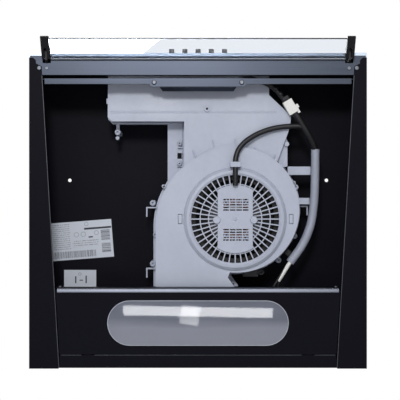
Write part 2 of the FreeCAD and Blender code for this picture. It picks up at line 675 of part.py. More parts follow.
def box_plan(stem_left):
    """The front box with its stem back to the scroll and its slanted right end."""
    left, rear, front = val("box_left"), val("box_rear"), val("box_front")
    return flat_face([
        (left, front), (left, rear - 6), (left + 6, rear), (stem_left, rear), (stem_left, 20),
        (100, 20), (121, -29), (137, -72), (140, -83), (141, -95), (129, -108), (108, -128), (108, front),
    ])


def box_side_profile(inset):
    """The front box seen from the side: its face rises a little towards the front."""
    face, front, low = val("box_face") + inset, val("box_front"), val("parting_z")
    crease = -101.5
    corners = [
        FreeCAD.Vector(-200, front - 1, low + 1), FreeCAD.Vector(-200, front - 1, face + 9),
        FreeCAD.Vector(-200, crease, face), FreeCAD.Vector(-200, 30, face),
        FreeCAD.Vector(-200, 30, low + 1),
    ]
    return Part.Face(Part.makePolygon(corners + corners[:1])).extrude(FreeCAD.Vector(400, 0, 0))


def inset_face(face, amount):
    return face.makeOffset2D(-amount)


def inlet_hole(low, high):
    return Part.makeCylinder(val("grille_outer") + 0.2, high - low,
                             FreeCAD.Vector(val("fan_x"), val("fan_y"), low))


def fan_cover():
    """The lower half of the housing, which faces the cook."""
    wall, low, disc_face = val("housing_wall"), val("parting_z"), val("disc_face")
    scroll, front = scroll_plan(), box_plan(val("stem_left"))
    scroll_solid = slab(scroll, disc_face, low)
    front_solid = slab(front, disc_face, low).common(box_side_profile(0))
    scroll_space = slab(inset_face(scroll, wall), disc_face + wall, low + 1)
    front_space = slab(inset_face(front, wall), disc_face, low + 1).common(box_side_profile(wall))
    shell = scroll_solid.fuse(front_solid).cut(scroll_space).cut(front_space)
    shell = shell.cut(inlet_hole(disc_face - 5, disc_face + wall + 1))
    drain_boss = Part.makeCylinder(4.5, 3, FreeCAD.Vector(13.6, -107, val("box_face") - 2.4))
    drain_hole = Part.makeCylinder(1.8, 12, FreeCAD.Vector(13.6, -107, val("box_face") - 4))
    shell = shell.fuse(drain_boss).cut(drain_hole)
    for x in (-83, 84.6):
        corner = FreeCAD.Vector(val("fan_x") + x - 3.2, val("fan_y") - 7.5, disc_face - 4)
        window = Part.makeBox(6.5, 15, 12, corner)
        shell = shell.cut(window)
    node(feature("cover_shape", shell.removeSplitter()), "fan_cover")


BOSSES = [(-70, 36), (-70, 130), (151, 11.6), (149, 87), (124.5, 124), (97, 143), (-124.4, -73.5)]


def fan_base():
    """The two upper mouldings of the housing, under the roof, with bosses, seam lip and hooks."""
    wall, low, high = val("housing_wall"), val("parting_z"), val("housing_top")
    scroll = scroll_plan()
    front = box_plan(val("stem_left") - val("stem_step"))
    outer = slab(scroll, low, high).fuse(slab(front, low, high))
    lip = slab(scroll.makeOffset2D(val("seam_lip")), low, low + 2.5)
    lip = lip.fuse(slab(front.makeOffset2D(2), low, low + 2.5))
    trim = Part.makeBox(500, 40, 20, FreeCAD.Vector(-250, val("box_front") - 40, low - 5))
    rear_trim = Part.makeBox(500, 40, 20, FreeCAD.Vector(-250, val("duct_end"), low - 5))
    shell = outer.fuse(lip).cut(trim).cut(rear_trim)
    for x, y in BOSSES:
        shell = shell.fuse(Part.makeCylinder(4.6, high - low, FreeCAD.Vector(x, y, low)))
    shell = shell.fuse(Part.makeBox(5, 14, 3, FreeCAD.Vector(-126.5, -90, low)))
    for x, y, turn in ((-64, 42, -1), (-64, 136, -1), (153.2, 40, 1)):
        reach = Part.makeBox(16, 2, 8, FreeCAD.Vector(min(x, x + turn * 16), y, low - 8))
        finger = Part.makeBox(2, 15, 8, FreeCAD.Vector(x + turn * 15 - 1, y, low - 8))
        shank = Part.makeBox(16, 2, 12, FreeCAD.Vector(min(x, x + turn * 16), y, low - 8))
        hook = reach.fuse(finger).fuse(shank)
        shell = shell.fuse(hook)
    inner = slab(inset_face(scroll, wall), low - 20, high - wall)
    inner = inner.fuse(slab(inset_face(front, wall), low - 20, high - wall))
    shell = shell.cut(inner)
    stem_hollow = slab(inset_face(box_plan(val("stem_left")), wall), low - 1, high)
    scroll_hollow = slab(inset_face(scroll, wall), low - 1, high)
    shelf = slab(front, low, low + wall).cut(stem_hollow).cut(scroll_hollow)
    window = Part.makeBox(9, 9, 12, FreeCAD.Vector(val("stem_left") - 11, -41.5, low - 4))
    shell = shell.fuse(shelf.cut(window))
    for y, radius in ((-57, 3.2), (-26, 3.2)):
        shell = shell.fuse(Part.makeCylinder(radius, 5, FreeCAD.Vector(val("stem_left") - 7, y, low - 3)))
    rear_mouth = Part.makeBox(val("duct_right") + 60, 10, 60,
                              FreeCAD.Vector(-61, val("duct_end") - 5, low - 20))
    front_mouth = Part.makeBox(228, 10, 34, FreeCAD.Vector(-128, val("box_front") - 5, low + 5))
    shell = shell.cut(rear_mouth).cut(front_mouth)
    seam = val("box_rear")
    box_side = Part.makeBox(600, 200, 100, FreeCAD.Vector(-300, seam - 200, low - 20))
    fan_side = Part.makeBox(600, 400, 100, FreeCAD.Vector(-300, seam + val("seam_gap"), low - 20))
    node(feature("base_shape", shell.common(fan_side).removeSplitter()), "fan_base")
    node(feature("box_base_shape", shell.common(box_side).removeSplitter()), "box_base")


def tube_brackets():
    """Two arms on the right of the housing that carry the wiring conduit."""
    upper = box("tube_arm_front", ("35.4", "13", "3"), ("137.2", "-20", "parting_z - 18"))
    upper_post = box("tube_post_front", ("3", "13", "-gauge - parting_z + 18"),
                     ("143.3", "-20", "parting_z - 18"))
    lower = box("tube_arm_rear", ("17.6", "10", "3"), ("153.4", "28", "parting_z - 18"))
    lower_post = box("tube_post_rear", ("3", "10", "-gauge - parting_z + 18"),
                     ("158", "28", "parting_z - 18"))
    node(fuse("tube_bracket_pair", [upper, upper_post, lower, lower_post]), "conduit_brackets")


def housing_rivets():
    """Plastic push rivets that hold the two halves of the housing together."""
    heads = []
    for x, y in BOSSES:
        heads.append(Part.makeCylinder(3.3, 2, FreeCAD.Vector(x, y, val("parting_z") - 2)))
    node(feature("housing_rivet_set", Part.makeCompound(heads)), "housing_rivets")


def outlet_duct():
    """The box duct over the lamp that turns the air up to the outlet."""
    left = "disc_x - disc_radius - spiral_step"
    outer = box("duct_outer", ("duct_right - disc_x + disc_radius + spiral_step", "duct_rear - duct_end",
                               "housing_top - duct_floor"), (left, "duct_end", "duct_floor"))
    inner = box("duct_inner", ("duct_right - disc_x + disc_radius + spiral_step - 4",
                               "duct_rear - duct_end - 2", "housing_top - duct_floor - 4"),
                (left + " + 2", "duct_end - 0.1", "duct_floor + 2"))
    mouth = rod("duct_mouth", "outlet_radius - outlet_gauge - 1", "10",
                ("outlet_x", "outlet_y", "housing_top - 5"))
    node(cut("duct_shape", outer, [inner, mouth]), "outlet_duct")


# ------------------------------------------------------------ inlet grille and motor

def inlet_grille():
    body = new_body("grille")
    ring = new_sketch(body, "grille_ring", "XZ_Plane")
    polygon(ring, [
        ("slot_outer", "rib_face + 6"), ("slot_outer", "rib_face - 0.6"),
        ("slot_outer + 3", "rib_face - 2.2"),
        ("slot_outer + 7", "rib_face - 1.6"), ("grille_outer", "rib_face + 2.4"),
        ("grille_outer", "rib_face + 6"),
    ])
    turn = body.newObject("PartDesign::Revolution", "grille_turn")
    turn.Profile = ring
    turn.ReferenceAxis = (ring, ["V_Axis"])
    turn.Angle = 360
    rib = new_sketch(body, "grille_rib", "XY_Plane", "rib_face")
    rectangle(rib, "cap_half - 1", "-rib_width / 2", "slot_outer + 1", "rib_width / 2")
    first = pad(body, rib, "rib_depth")
    doc.recompute()
    ribs = body.newObject("PartDesign::PolarPattern", "grille_ribs")
    ribs.Originals = [first]
    ribs.Axis = (rib, ["N_Axis"])
    ribs.Angle = 360
    bind(ribs, "Occurrences", "rib_count")
    body.Tip = ribs
    for number, middle in enumerate(("ring_one", "ring_two")):
        hoop = new_sketch(body, "grille_hoop_%d" % number, "XY_Plane", "rib_face + 0.2")
        circle(hoop, "0.001", "0.001", middle + " - ring_width / 2")
        circle(hoop, "0.001", "0.001", middle + " + ring_width / 2")
        pad(body, hoop, "rib_depth - 0.4")
    body.Placement.Base = FreeCAD.Vector(val("fan_x"), val("fan_y"), 0)
    node(body, "inlet_grille")


def vent_grid(rows_y):
    """Five rows of four slots."""
    slots = []
    for row in range(5):
        for column in range(4):
            x = val("fan_x") + 1 + (column - 1.5) * 9.8 - 4.2
            y = val("fan_y") + rows_y + (row - 2) * 3.9 - 1.05
            slots.append(Part.makeBox(8.4, 2.1, 12, FreeCAD.Vector(x, y, val("cap_face") - 2)))
    return slots


def motor_cap():
    """The plate over the motor, with two vent grids and a bearing seat behind."""
    disc = rod("cap_disc", "cap_radius", "cap_gauge", ("fan_x", "fan_y", "cap_face"))
    sides = box("cap_sides", ("2 * cap_half", "2 * cap_radius", "cap_gauge"),
                ("fan_x - cap_half", "fan_y - cap_radius", "cap_face"))
    seat = rod("cap_seat", "bearing_radius + 2.5", "8", ("fan_x", "fan_y", "cap_face + 1"))
    plate = fuse("cap_plate", [common("cap_outline", disc, sides), seat])
    seat_bore = rod("cap_bore", "bearing_radius", "7", ("fan_x", "fan_y", "cap_face + cap_gauge"))
    grids = feature("cap_vents", Part.makeCompound(vent_grid(-21.5) + vent_grid(23.7)))
    node(cut("cap_shape", cut("cap_bored", plate, [seat_bore]), [grids]), "motor_cap")


def motor_knobs():
    knobs = []
    for side, sign in (("left", "-"), ("right", "+")):
        knobs.append(rod("knob_" + side, "5.6", "3.5",
                         ("fan_x %s knob_x" % sign, "fan_y + 1.5", "cap_face - 3.5")))
    node(fuse("knob_pair", knobs), "motor_knobs")


def motor_parts():
    ring = rod("frame_ring", "frame_radius", "36.9", ("fan_x", "fan_y", "cap_face + 6.1"))
    hollow = rod("frame_hollow", "stator_radius", "34", ("fan_x", "fan_y", "cap_face + 7.1"))
    windows = [rod("frame_eye", "hub_eye", "1.5", ("fan_x", "fan_y", "cap_face + 6"))]
    for side, sign in (("front", "-"), ("rear", "+")):
        windows.append(box("frame_window_" + side, ("24", "17", "3"),
                           ("fan_x - 12", "fan_y %s 22 - 8.5" % sign, "cap_face + 5")))
    seat = rod("frame_bore", "bearing_radius", "60", ("fan_x", "fan_y", "cap_face + cap_gauge"))
    vents = []
    for number in range(4):
        vents.append(rod("frame_vent_%d" % number, "6", "60",
                         ("fan_x + 26 * cos(45 + %d)" % (90 * number),
                          "fan_y + 26 * sin(45 + %d)" % (90 * number),
                          "cap_face + cap_gauge")))
    node(cut("frame_shape", ring, [hollow, seat] + vents + windows), "motor_frame")
    core = rod("stator_core", "stator_radius", "20", ("fan_x", "fan_y", "cap_face + 15"))
    core_bore = rod("stator_bore", "rotor_radius + 0.5", "30", ("fan_x", "fan_y", "cap_face + 10"))
    node(cut("stator_shape", core, [core_bore]), "motor_stator")
    coils = []
    for number, (start, height) in enumerate((("cap_face + 7.5", "7.5"), ("cap_face + 35", "5.4"))):
        coil = rod("coil_%d" % number, "stator_radius - 3", height, ("fan_x", "fan_y", start))
        eye = rod("coil_eye_%d" % number, "rotor_radius + 3", "12", ("fan_x", "fan_y", start + " - 2"))
        coils.append(cut("coil_ring_%d" % number, coil, [eye]))
    node(fuse("windings_shape", coils), "motor_windings")
    rotor = rod("rotor_core", "rotor_radius", "24", ("fan_x", "fan_y", "cap_face + 13"))
    bore = rod("rotor_bore", "shaft_radius", "40", ("fan_x", "fan_y", "cap_face + 5"))
    node(cut("rotor_shape", rotor, [bore]), "motor_rotor")
    node(rod("shaft", "shaft_radius", "wheel_top - cap_face - 2",
             ("fan_x", "fan_y", "cap_face + cap_gauge + 0.4")),
         "motor_shaft")
    races = []
    for number, start in enumerate(("cap_face + cap_gauge", "cap_face + cap_gauge + 37")):
        race = rod("bearing_race_%d" % number, "bearing_radius", "5.5" if number == 0 else "5",
                   ("fan_x", "fan_y", start))
        eye = rod("bearing_eye_%d" % number, "shaft_radius + 0.05", "10",
                  ("fan_x", "fan_y", start + " - 2"))
        races.append(cut("bearing_ring_%d" % number, race, [eye]))
    node(fuse("bearing_pair", races), "motor_bearings")


def impeller():
    """A centrifugal wheel: back plate, hub, a ring of forward-leaning blades and a front ring."""
    centre = FreeCAD.Vector(val("fan_x"), val("fan_y"), 0)
    top, face, outer, inner = val("wheel_top"), val("wheel_face"), val("wheel_radius"), val("wheel_inner")
    plate = Part.makeCylinder(outer, 2, centre + FreeCAD.Vector(0, 0, top - 2))
    hub = Part.makeCylinder(12, 16, centre + FreeCAD.Vector(0, 0, top - 16))
    ring = Part.makeCylinder(outer, 2, centre + FreeCAD.Vector(0, 0, face))
    ring = ring.cut(Part.makeCylinder(inner, 4, centre + FreeCAD.Vector(0, 0, face - 1)))
    blade = Part.makeBox(outer - inner - 1.5, val("blade_gauge"), top - face - 2,
                         FreeCAD.Vector(0, 0, face + 1))
    blade.rotate(FreeCAD.Vector(), FreeCAD.Vector(0, 0, 1), 28)
    blade.translate(FreeCAD.Vector(inner + 0.5, -2.5, 0))
    blades = []
    for number in range(int(val("blade_count"))):
        turned = blade.copy()
        turned.rotate(FreeCAD.Vector(), FreeCAD.Vector(0, 0, 1), 360.0 * number / val("blade_count"))
        turned.translate(centre)
        blades.append(turned)
    wheel = plate.fuse([hub, ring] + blades)
    wheel = wheel.cut(Part.makeCylinder(val("shaft_radius"), 60, centre + FreeCAD.Vector(0, 0, top - 50)))
    node(feature("wheel_shape", wheel), "impeller")


# ---------------------------------------------------------------------- outlet

def outlet_spigot():
    """The round collar on the roof that the duct slides over."""
    body = new_body("spigot")
    profile = new_sketch(body, "spigot_profile", "XZ_Plane")
    polygon(profile, [
        ("outlet_radius - outlet_gauge", "0.001"), ("outlet_radius + 10", "0.001"),
        ("outlet_radius + 10", "1.6"), ("outlet_radius", "1.6"), ("outlet_radius", "outlet_height - 2"),
        ("outlet_radius - 0.6", "outlet_height"), ("outlet_radius - outlet_gauge", "outlet_height"),
    ])
    turn = body.newObject("PartDesign::Revolution", "spigot_turn")
    turn.Profile = profile
    turn.ReferenceAxis = (profile, ["V_Axis"])
    turn.Angle = 360
    body.Placement.Base = FreeCAD.Vector(val("outlet_x"), val("outlet_y"), 0)
    pins, pin_holes = [], []
    for side, sign in (("front", "-"), ("rear", "+")):
        start = ("outlet_x - outlet_radius + 0.3", "outlet_y %s flap_pin_y" % sign, "flap_z")
        pins.append(rod("flap_pin_" + side, "flap_pin_radius", "2 * outlet_radius - 0.6", start,
                        axis="X"))
        hole_start = ("outlet_x - outlet_radius - 5", start[1], start[2])
        pin_holes.append(rod("flap_hole_" + side, "flap_pin_radius + 0.02", "2 * outlet_radius + 10",
                             hole_start, axis="X"))
    node(cut("spigot_shape", body, pin_holes), "outlet_spigot")
    node(fuse("flap_pin_pair", pins), "flap_pins")


def flap(side, sign):
    """Half of the back-draught shutter: a half disc with two knuckles round its pin."""
    centre = FreeCAD.Vector(val("outlet_x"), val("outlet_y"), 0)
    radius, gauge, z = val("flap_radius"), val("flap_gauge"), val("flap_z")
    pin_y, pin_radius = val("flap_pin_y"), val("flap_pin_radius")
    disc = Part.makeCylinder(radius, gauge, centre + FreeCAD.Vector(0, 0, z - 3.4))
    low_y = 0.4 if sign > 0 else -60
    keep = Part.makeBox(120, 59.6, 10, centre + FreeCAD.Vector(-60, low_y, z - 8))
    leaf = disc.common(keep)
    for start in (-40, -6, 28):
        knuckle = Part.makeCylinder(2.7, 12, centre + FreeCAD.Vector(start, sign * pin_y, z),
                                    FreeCAD.Vector(1, 0, 0))
        web = Part.makeBox(12, 2.4, 3, centre + FreeCAD.Vector(start, sign * pin_y - 1.2, z - 3))
        leaf = leaf.fuse([knuckle, web])
    bore = Part.makeCylinder(pin_radius + 0.08, 120, centre + FreeCAD.Vector(-60, sign * pin_y, z),
                             FreeCAD.Vector(1, 0, 0))
    node(feature("flap_" + side, leaf.cut(bore)), "flap_" + side)


def cord_grommet():
    """The bush in the roof for the mains cord, which isn't fitted here."""
    flange = rod("grommet_flange", "9", "2", ("-150", "232", "0"))
    neck = rod("grommet_neck", "6", "5", ("-150", "232", "-4"))
    inner_flange = rod("grommet_inner", "9", "2", ("-150", "232", "-3"))
    bore = rod("grommet_bore", "3.8", "12", ("-150", "232", "-6"))
    node(cut("grommet_shape", fuse("grommet_solid", [flange, neck, inner_flange]), [bore]),
         "cord_grommet")


# -------------------------------------------------------------- leads and conduit

def smooth_path(points):
    """Straight runs joined by tangent arcs, each as large as its two runs allow."""
    vectors = [FreeCAD.Vector(*point) for point in points]
    edges = []
    start = vectors[0]
    radii = []
    for before, corner, after in zip(vectors, vectors[1:], vectors[2:]):
        back = (before - corner).normalize()
        ahead = (after - corner).normalize()
        turn = math.pi - back.getAngle(ahead)
        trim = 0.45 * min(before.distanceToPoint(corner), after.distanceToPoint(corner))
        radius = trim / math.tan(turn / 2)
        radii.append(round(radius, 1))
        bisector = (back + ahead).normalize()
        middle = corner + bisector * (radius / math.cos(turn / 2) - radius)
        first, last = corner + back * trim, corner + ahead * trim
        edges.append(Part.LineSegment(start, first).toShape())
        edges.append(Part.Arc(first, middle, last).toShape())
        start = last
    edges.append(Part.LineSegment(start, vectors[-1]).toShape())
    return Part.Wire(edges), radii


def swept(name, points, radius):
    """A round cord along a path, with its volume compared with section times length."""
    path, radii = smooth_path(points)
    along = FreeCAD.Vector(*points[1]) - FreeCAD.Vector(*points[0])
    section = Part.Wire(Part.makeCircle(radius, FreeCAD.Vector(*points[0]), along))
    solid = path.makePipeShell([section], True, False)
    expected = math.pi * radius ** 2 * path.Length
    print("%s: length %.1f, arc radii %s, volume ratio %.4f" % (name, path.Length, radii,
                                                                solid.Volume / expected))
    return solid


CONDUIT = [
    (178.9, -46, -70), (178.8, -10, -70), (177.6, 30, -70), (173.2, 67, -70.5), (161, 98, -71),
    (140, 126.5, -72),
]
MOTOR_LEAD = [
    (56, 10, -99.2), (56, -8, -99.2), (56, -31, -98.3), (60.5, -45, -96), (71, -57, -93), (88, -68, -90),
    (109, -76, -87.5), (130, -79.8, -86.5), (151, -80.5, -86),
]
LAMP_LEAD = [
    (140, 126.5, -74), (131, 137, -76), (123, 149, -79), (114, 163, -84), (106, 176, -90.5),
    (104, 191, -92),
]
SWITCH_LEAD = [
    (131.5, -117, -86), (124, -129, -86), (112, -140, -86.5), (96, -147.5, -88), (80, -152, -91),
    (65, -156, -95), (51, -161.5, -99),
]
SLEEVE = [(146, -101, -88), (153, -90, -87), (165, -71, -83), (174, -57, -76), (178.4, -46.3, -71)]


def conduit():
    outer = swept("conduit", CONDUIT, val("conduit_radius"))
    inner = swept("conduit bore", CONDUIT, val("conduit_radius") - val("conduit_wall"))
    node(feature("conduit_shape", outer.cut(inner)), "conduit_tube")


def leads():
    node(feature("motor_lead_shape", swept("motor lead", MOTOR_LEAD, val("lead_radius"))), "motor_lead")
    node(feature("lamp_lead_shape", swept("lamp lead", LAMP_LEAD, val("lamp_lead_radius"))), "lamp_lead")
    node(feature("switch_lead_shape", swept("switch lead", SWITCH_LEAD, 3.6)), "switch_lead")
    node(feature("sleeve_shape", swept("wire sleeve", SLEEVE, val("sleeve_radius"))), "wire_sleeve")


def turned_box(size, centre, angle):
    """A box centred on a point and turned about Z."""
    length, width, height = size
    shape = Part.makeBox(length, width, height, FreeCAD.Vector(-length / 2, -width / 2, -height / 2))
    shape.rotate(FreeCAD.Vector(), FreeCAD.Vector(0, 0, 1), angle)
    shape.translate(FreeCAD.Vector(*centre))
    return shape


def wire_connector():
    """The plug and socket that join the switch wiring to the motor and lamp wiring."""
    shell = turned_box((22, 15, 12), (139.5, -109, -87.5), 60)
    latch = turned_box((12, 4, 3), (150, -105.5, -91), 60)
    bridge = turned_box((6, 12, 3), (146, -108.5, -91), 60)
    node(feature("connector_shell", shell.fuse([latch, bridge])), "connector_socket")
    plug = turned_box((8, 12, 10), (132.2, -121.8, -87.5), 60)
    node(feature("connector_plug_shape", plug), "connector_plug")


def cable_clip():
    """The small bridge on the housing that holds the motor lead."""
    bridge = box("clip_bridge", ("16", "8", "2"), ("fan_x - 8", "fan_y - 86", "disc_face - 17"))
    left = box("clip_left", ("3", "8", "17"), ("fan_x - 8", "fan_y - 86", "disc_face - 17"))
    right = box("clip_right", ("3", "8", "17"), ("fan_x + 5", "fan_y - 86", "disc_face - 17"))
    node(fuse("clip_shape", [bridge, left, right]), "cable_clip")


def conduit_strap():
    node(feature("strap_shape", turned_box((13, 9, 4), (139.4, 113.2, -63.2), 40)), "conduit_strap")


# --------------------------------------------------------------- labels and screws

def labels():
    rating = box("rating_plate", ("100", "60", "0.4"), ("-238", "69", "-gauge - 0.4"))
    rating.Placement.Rotation = FreeCAD.Rotation(FreeCAD.Vector(0, 0, 1), -4.4)
    node(rating, "rating_label")
    node(box("batch_plate", ("51", "36", "0.4"), ("-213", "142.5", "-gauge - 0.4")), "batch_label")


def pan_screw(x, y, z, radius, height):
    """A pan head that looks down, with a round-edged crown."""
    head = Part.makeCylinder(radius, height, FreeCAD.Vector(x, y, z - height))
    crown = z - height
    rim = [edge for edge in head.Edges
           if abs(edge.CenterOfMass.z - crown) < 0.01 and len(edge.Vertexes) == 1]
    head = head.makeFillet(height * 0.6, rim)
    slot = Part.makeBox(radius * 1.3, radius * 0.3, height * 0.5,
                        FreeCAD.Vector(x - radius * 0.65, y - radius * 0.15, z - height))
    cross = Part.makeBox(radius * 0.3, radius * 1.3, height * 0.5,
                         FreeCAD.Vector(x - radius * 0.15, y - radius * 0.65, z - height))
    shank = Part.makeCylinder(1.5, 3, FreeCAD.Vector(x, y, z - 0.01))
    return head.cut(slot).cut(cross).fuse(shank)


def screws():
    corner_x = val("hood_width") / 2 - val("corner_screw_inset")
    y = val("corner_screw_y")
    front = []
    for sign in (-1, 1):
        front.append(pan_screw(sign * corner_x, y, -val("hood_height"), 3.4, 2))
        front.append(pan_screw(sign * val("arm_x"), y, val("beam_under"), 2.8, 1.2))
        front.append(pan_screw(sign * val("bracket_screw_x"), val("bracket_screw_y"),
                                val("rail_under") - val("bracket_gauge"), 3.6, 2.4))
    node(feature("front_screw_set", Part.makeCompound(front)), "front_screws")
    pair = []
    for sign in (-1, 1):
        face = val("lamp_front") - val("lamp_roll")
        head = Part.makeCylinder(3, 2, FreeCAD.Vector(sign * (val("lamp_half_front") - 5), face - 2,
                                                      val("lamp_under") + 11),
                                 FreeCAD.Vector(0, 1, 0))
        pair.append(head)
    node(feature("lamp_screw_set", Part.makeCompound(pair)), "lamp_screws")


def build():
    roof_panel()
    side_panels()
    rear_panel()
    front_panel()
    front_fascia()
    front_beam()
    filter_rail()
    switch_bracket()
    switch_module()
    for number in range(1, 6):
        push_button(number)
    hinge_brackets()
    visor_arms()
    visor_glass()
    visor_pins()
    lamp_panel()
    lamp_lens()
    lamp_reflector()
    lamp_socket()
    lamp_bulb()
    fan_cover()
    fan_base()
    tube_brackets()
    housing_rivets()
    outlet_duct()
    inlet_grille()
    motor_cap()
    motor_knobs()
    motor_parts()
    impeller()
    outlet_spigot()
    flap("front", -1)
    flap("rear", 1)
    cord_grommet()
    conduit()
    leads()
    wire_connector()
    cable_clip()
    conduit_strap()
    labels()
    screws()


def check():
    """Stops with a message when any object failed or a sub-part has no valid solid."""
    faults = []
    for obj in doc.Objects:
        if "Invalid" in obj.State or "Error" in obj.State:
            faults.append("%s (%s): %s" % (obj.Name, obj.Label, obj.State))
    for obj in NODES:
        if obj.Shape.isNull() or not obj.Shape.isValid() or not obj.Shape.Solids:
            faults.append("%s has no valid solid" % obj.Label)
    if faults:
        raise RuntimeError("; ".join(faults))


build()
doc.recompute()
check()
os.makedirs("parts", exist_ok=True)
for obj in NODES:
    obj.Shape.exportStep("parts/" + obj.Label + ".step")
print("wrote %d sub-parts" % len(NODES))
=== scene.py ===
import json
import math
import bpy
import bmesh
from mathutils import Matrix, Vector


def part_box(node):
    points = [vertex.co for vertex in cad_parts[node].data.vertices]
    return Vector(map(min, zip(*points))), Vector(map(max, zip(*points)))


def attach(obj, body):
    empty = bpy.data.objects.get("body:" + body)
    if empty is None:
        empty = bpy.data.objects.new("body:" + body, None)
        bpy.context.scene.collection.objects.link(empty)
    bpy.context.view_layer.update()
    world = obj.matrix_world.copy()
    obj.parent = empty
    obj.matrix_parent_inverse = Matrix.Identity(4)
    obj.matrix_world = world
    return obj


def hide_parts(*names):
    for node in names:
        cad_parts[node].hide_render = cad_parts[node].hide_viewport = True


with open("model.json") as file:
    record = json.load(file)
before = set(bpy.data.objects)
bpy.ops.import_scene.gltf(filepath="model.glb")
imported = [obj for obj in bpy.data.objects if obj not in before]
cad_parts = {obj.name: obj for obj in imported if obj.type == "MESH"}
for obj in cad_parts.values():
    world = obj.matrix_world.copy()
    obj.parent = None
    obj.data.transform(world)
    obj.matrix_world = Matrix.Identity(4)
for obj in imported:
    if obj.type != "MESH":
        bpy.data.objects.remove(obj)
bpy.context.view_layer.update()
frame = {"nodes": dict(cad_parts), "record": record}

mm = 0.001
scene = bpy.context.scene
nodes = frame["nodes"]


# camera, floor and lights

view = {
    "eye": (3, 31.3, -1720),              # mm, straight below the hood
    "focalLength": 97.3,
    "sensor": 36,
}
studio = {
    "floorHeight": -2.75,                 # m, far under the hood
    "floorSize": 60,
    "skyForCamera": 1.0,
    "skyForLight": 0.16,
}
lamps = [                                 # name, place in m, aim in m, width, height, watts
    ("keyLamp", (-0.12, -0.75, -2.1), (0, 0, -0.05), 0.30, 0.30, 19.5),
    ("frontPanel", (0.1, -1.3, -1.8), (0, -0.1, -0.05), 1.6, 0.7, 5),
    ("leftPanel", (-1.25, 0.35, -1.7), (0, 0, -0.05), 0.9, 1.4, 2.5),
    ("rightPanel", (1.2, 0.5, -1.9), (0, 0.1, -0.05), 0.8, 1.2, 2),
    ("lensBar", (-0.003, 0.36, -1.70), (0.0, 0.2, -0.12), 0.44, 0.028, 0.52),
    ("lensGlow", (-0.026, 0.366, -1.66), (0.0, 0.2, -0.12), 0.055, 0.055, 0.07),
    ("topPanel", (-0.8, -1.1, 2.2), (0, 0, 0), 1.8, 1.8, 90),
    ("backPanel", (0.9, 2.1, 1.1), (0, 0, 0), 1.2, 1.2, 80),
]


def makeCamera():
    data = bpy.data.cameras.new("camera")
    data.sensor_width = view["sensor"]
    data.lens = view["focalLength"]
    data.clip_start = 0.05
    data.clip_end = 100
    camera = bpy.data.objects.new("camera", data)
    camera.location = Vector(view["eye"]) * mm
    camera.rotation_euler = (math.pi, 0, 0)       # looks up, with the fascia at the top
    scene.collection.objects.link(camera)
    scene.camera = camera


def makeWorld():
    world = bpy.data.worlds.new("studio")
    scene.world = world
    world.use_nodes = True
    tree = world.node_tree
    background = tree.nodes["Background"]
    background.inputs["Color"].default_value = (1, 1, 1, 1)
    path = tree.nodes.new("ShaderNodeLightPath")
    seen = tree.nodes.new("ShaderNodeMath")
    seen.operation = "MAXIMUM"
    strength = tree.nodes.new("ShaderNodeMapRange")
    strength.inputs["To Min"].default_value = studio["skyForLight"]
    strength.inputs["To Max"].default_value = studio["skyForCamera"]
    tree.links.new(path.outputs["Is Camera Ray"], seen.inputs[0])
    tree.links.new(path.outputs["Is Transmission Ray"], seen.inputs[1])
    tree.links.new(seen.outputs[0], strength.inputs["Value"])
    tree.links.new(strength.outputs["Result"], background.inputs["Strength"])


def makeLights():
    for name, place, aim, width, height, watts in lamps:
        data = bpy.data.lights.new(name, "AREA")
        data.shape = "RECTANGLE"
        data.size = width
        data.size_y = height
        data.energy = watts
        lamp = bpy.data.objects.new(name, data)
        lamp.location = place
        lamp.rotation_euler = (Vector(aim) - Vector(place)).to_track_quat("-Z", "Y").to_euler()
        scene.collection.objects.link(lamp)


scene.view_settings.view_transform = "Standard"
makeCamera()
makeWorld()
makeLights()
print("camera and lights are in")


# shader tools

class Wire:
    # one output socket that takes part in sums
    def __init__(self, shader, socket):
        self.shader = shader
        self.socket = socket

    def maths(self, operation, first, second):
        return self.shader.add("ShaderNodeMath", {"operation": operation}, {0: first, 1: second})

    def __add__(self, other):
        return self.maths("ADD", self, other)

    def __radd__(self, other):
        return self.maths("ADD", other, self)

    def __sub__(self, other):
        return self.maths("SUBTRACT", self, other)

    def __rsub__(self, other):
        return self.maths("SUBTRACT", other, self)

    def __mul__(self, other):
        return self.maths("MULTIPLY", self, other)

    def __rmul__(self, other):
        return self.maths("MULTIPLY", other, self)

    def __truediv__(self, other):
        return self.maths("DIVIDE", self, other)

    def fraction(self):
        return self.maths("FRACT", self, 0)

    def root(self):
        return self.maths("SQRT", self, 0)

    def __gt__(self, other):
        return self.maths("GREATER_THAN", self, other)

    def __lt__(self, other):
        return self.maths("LESS_THAN", self, other)


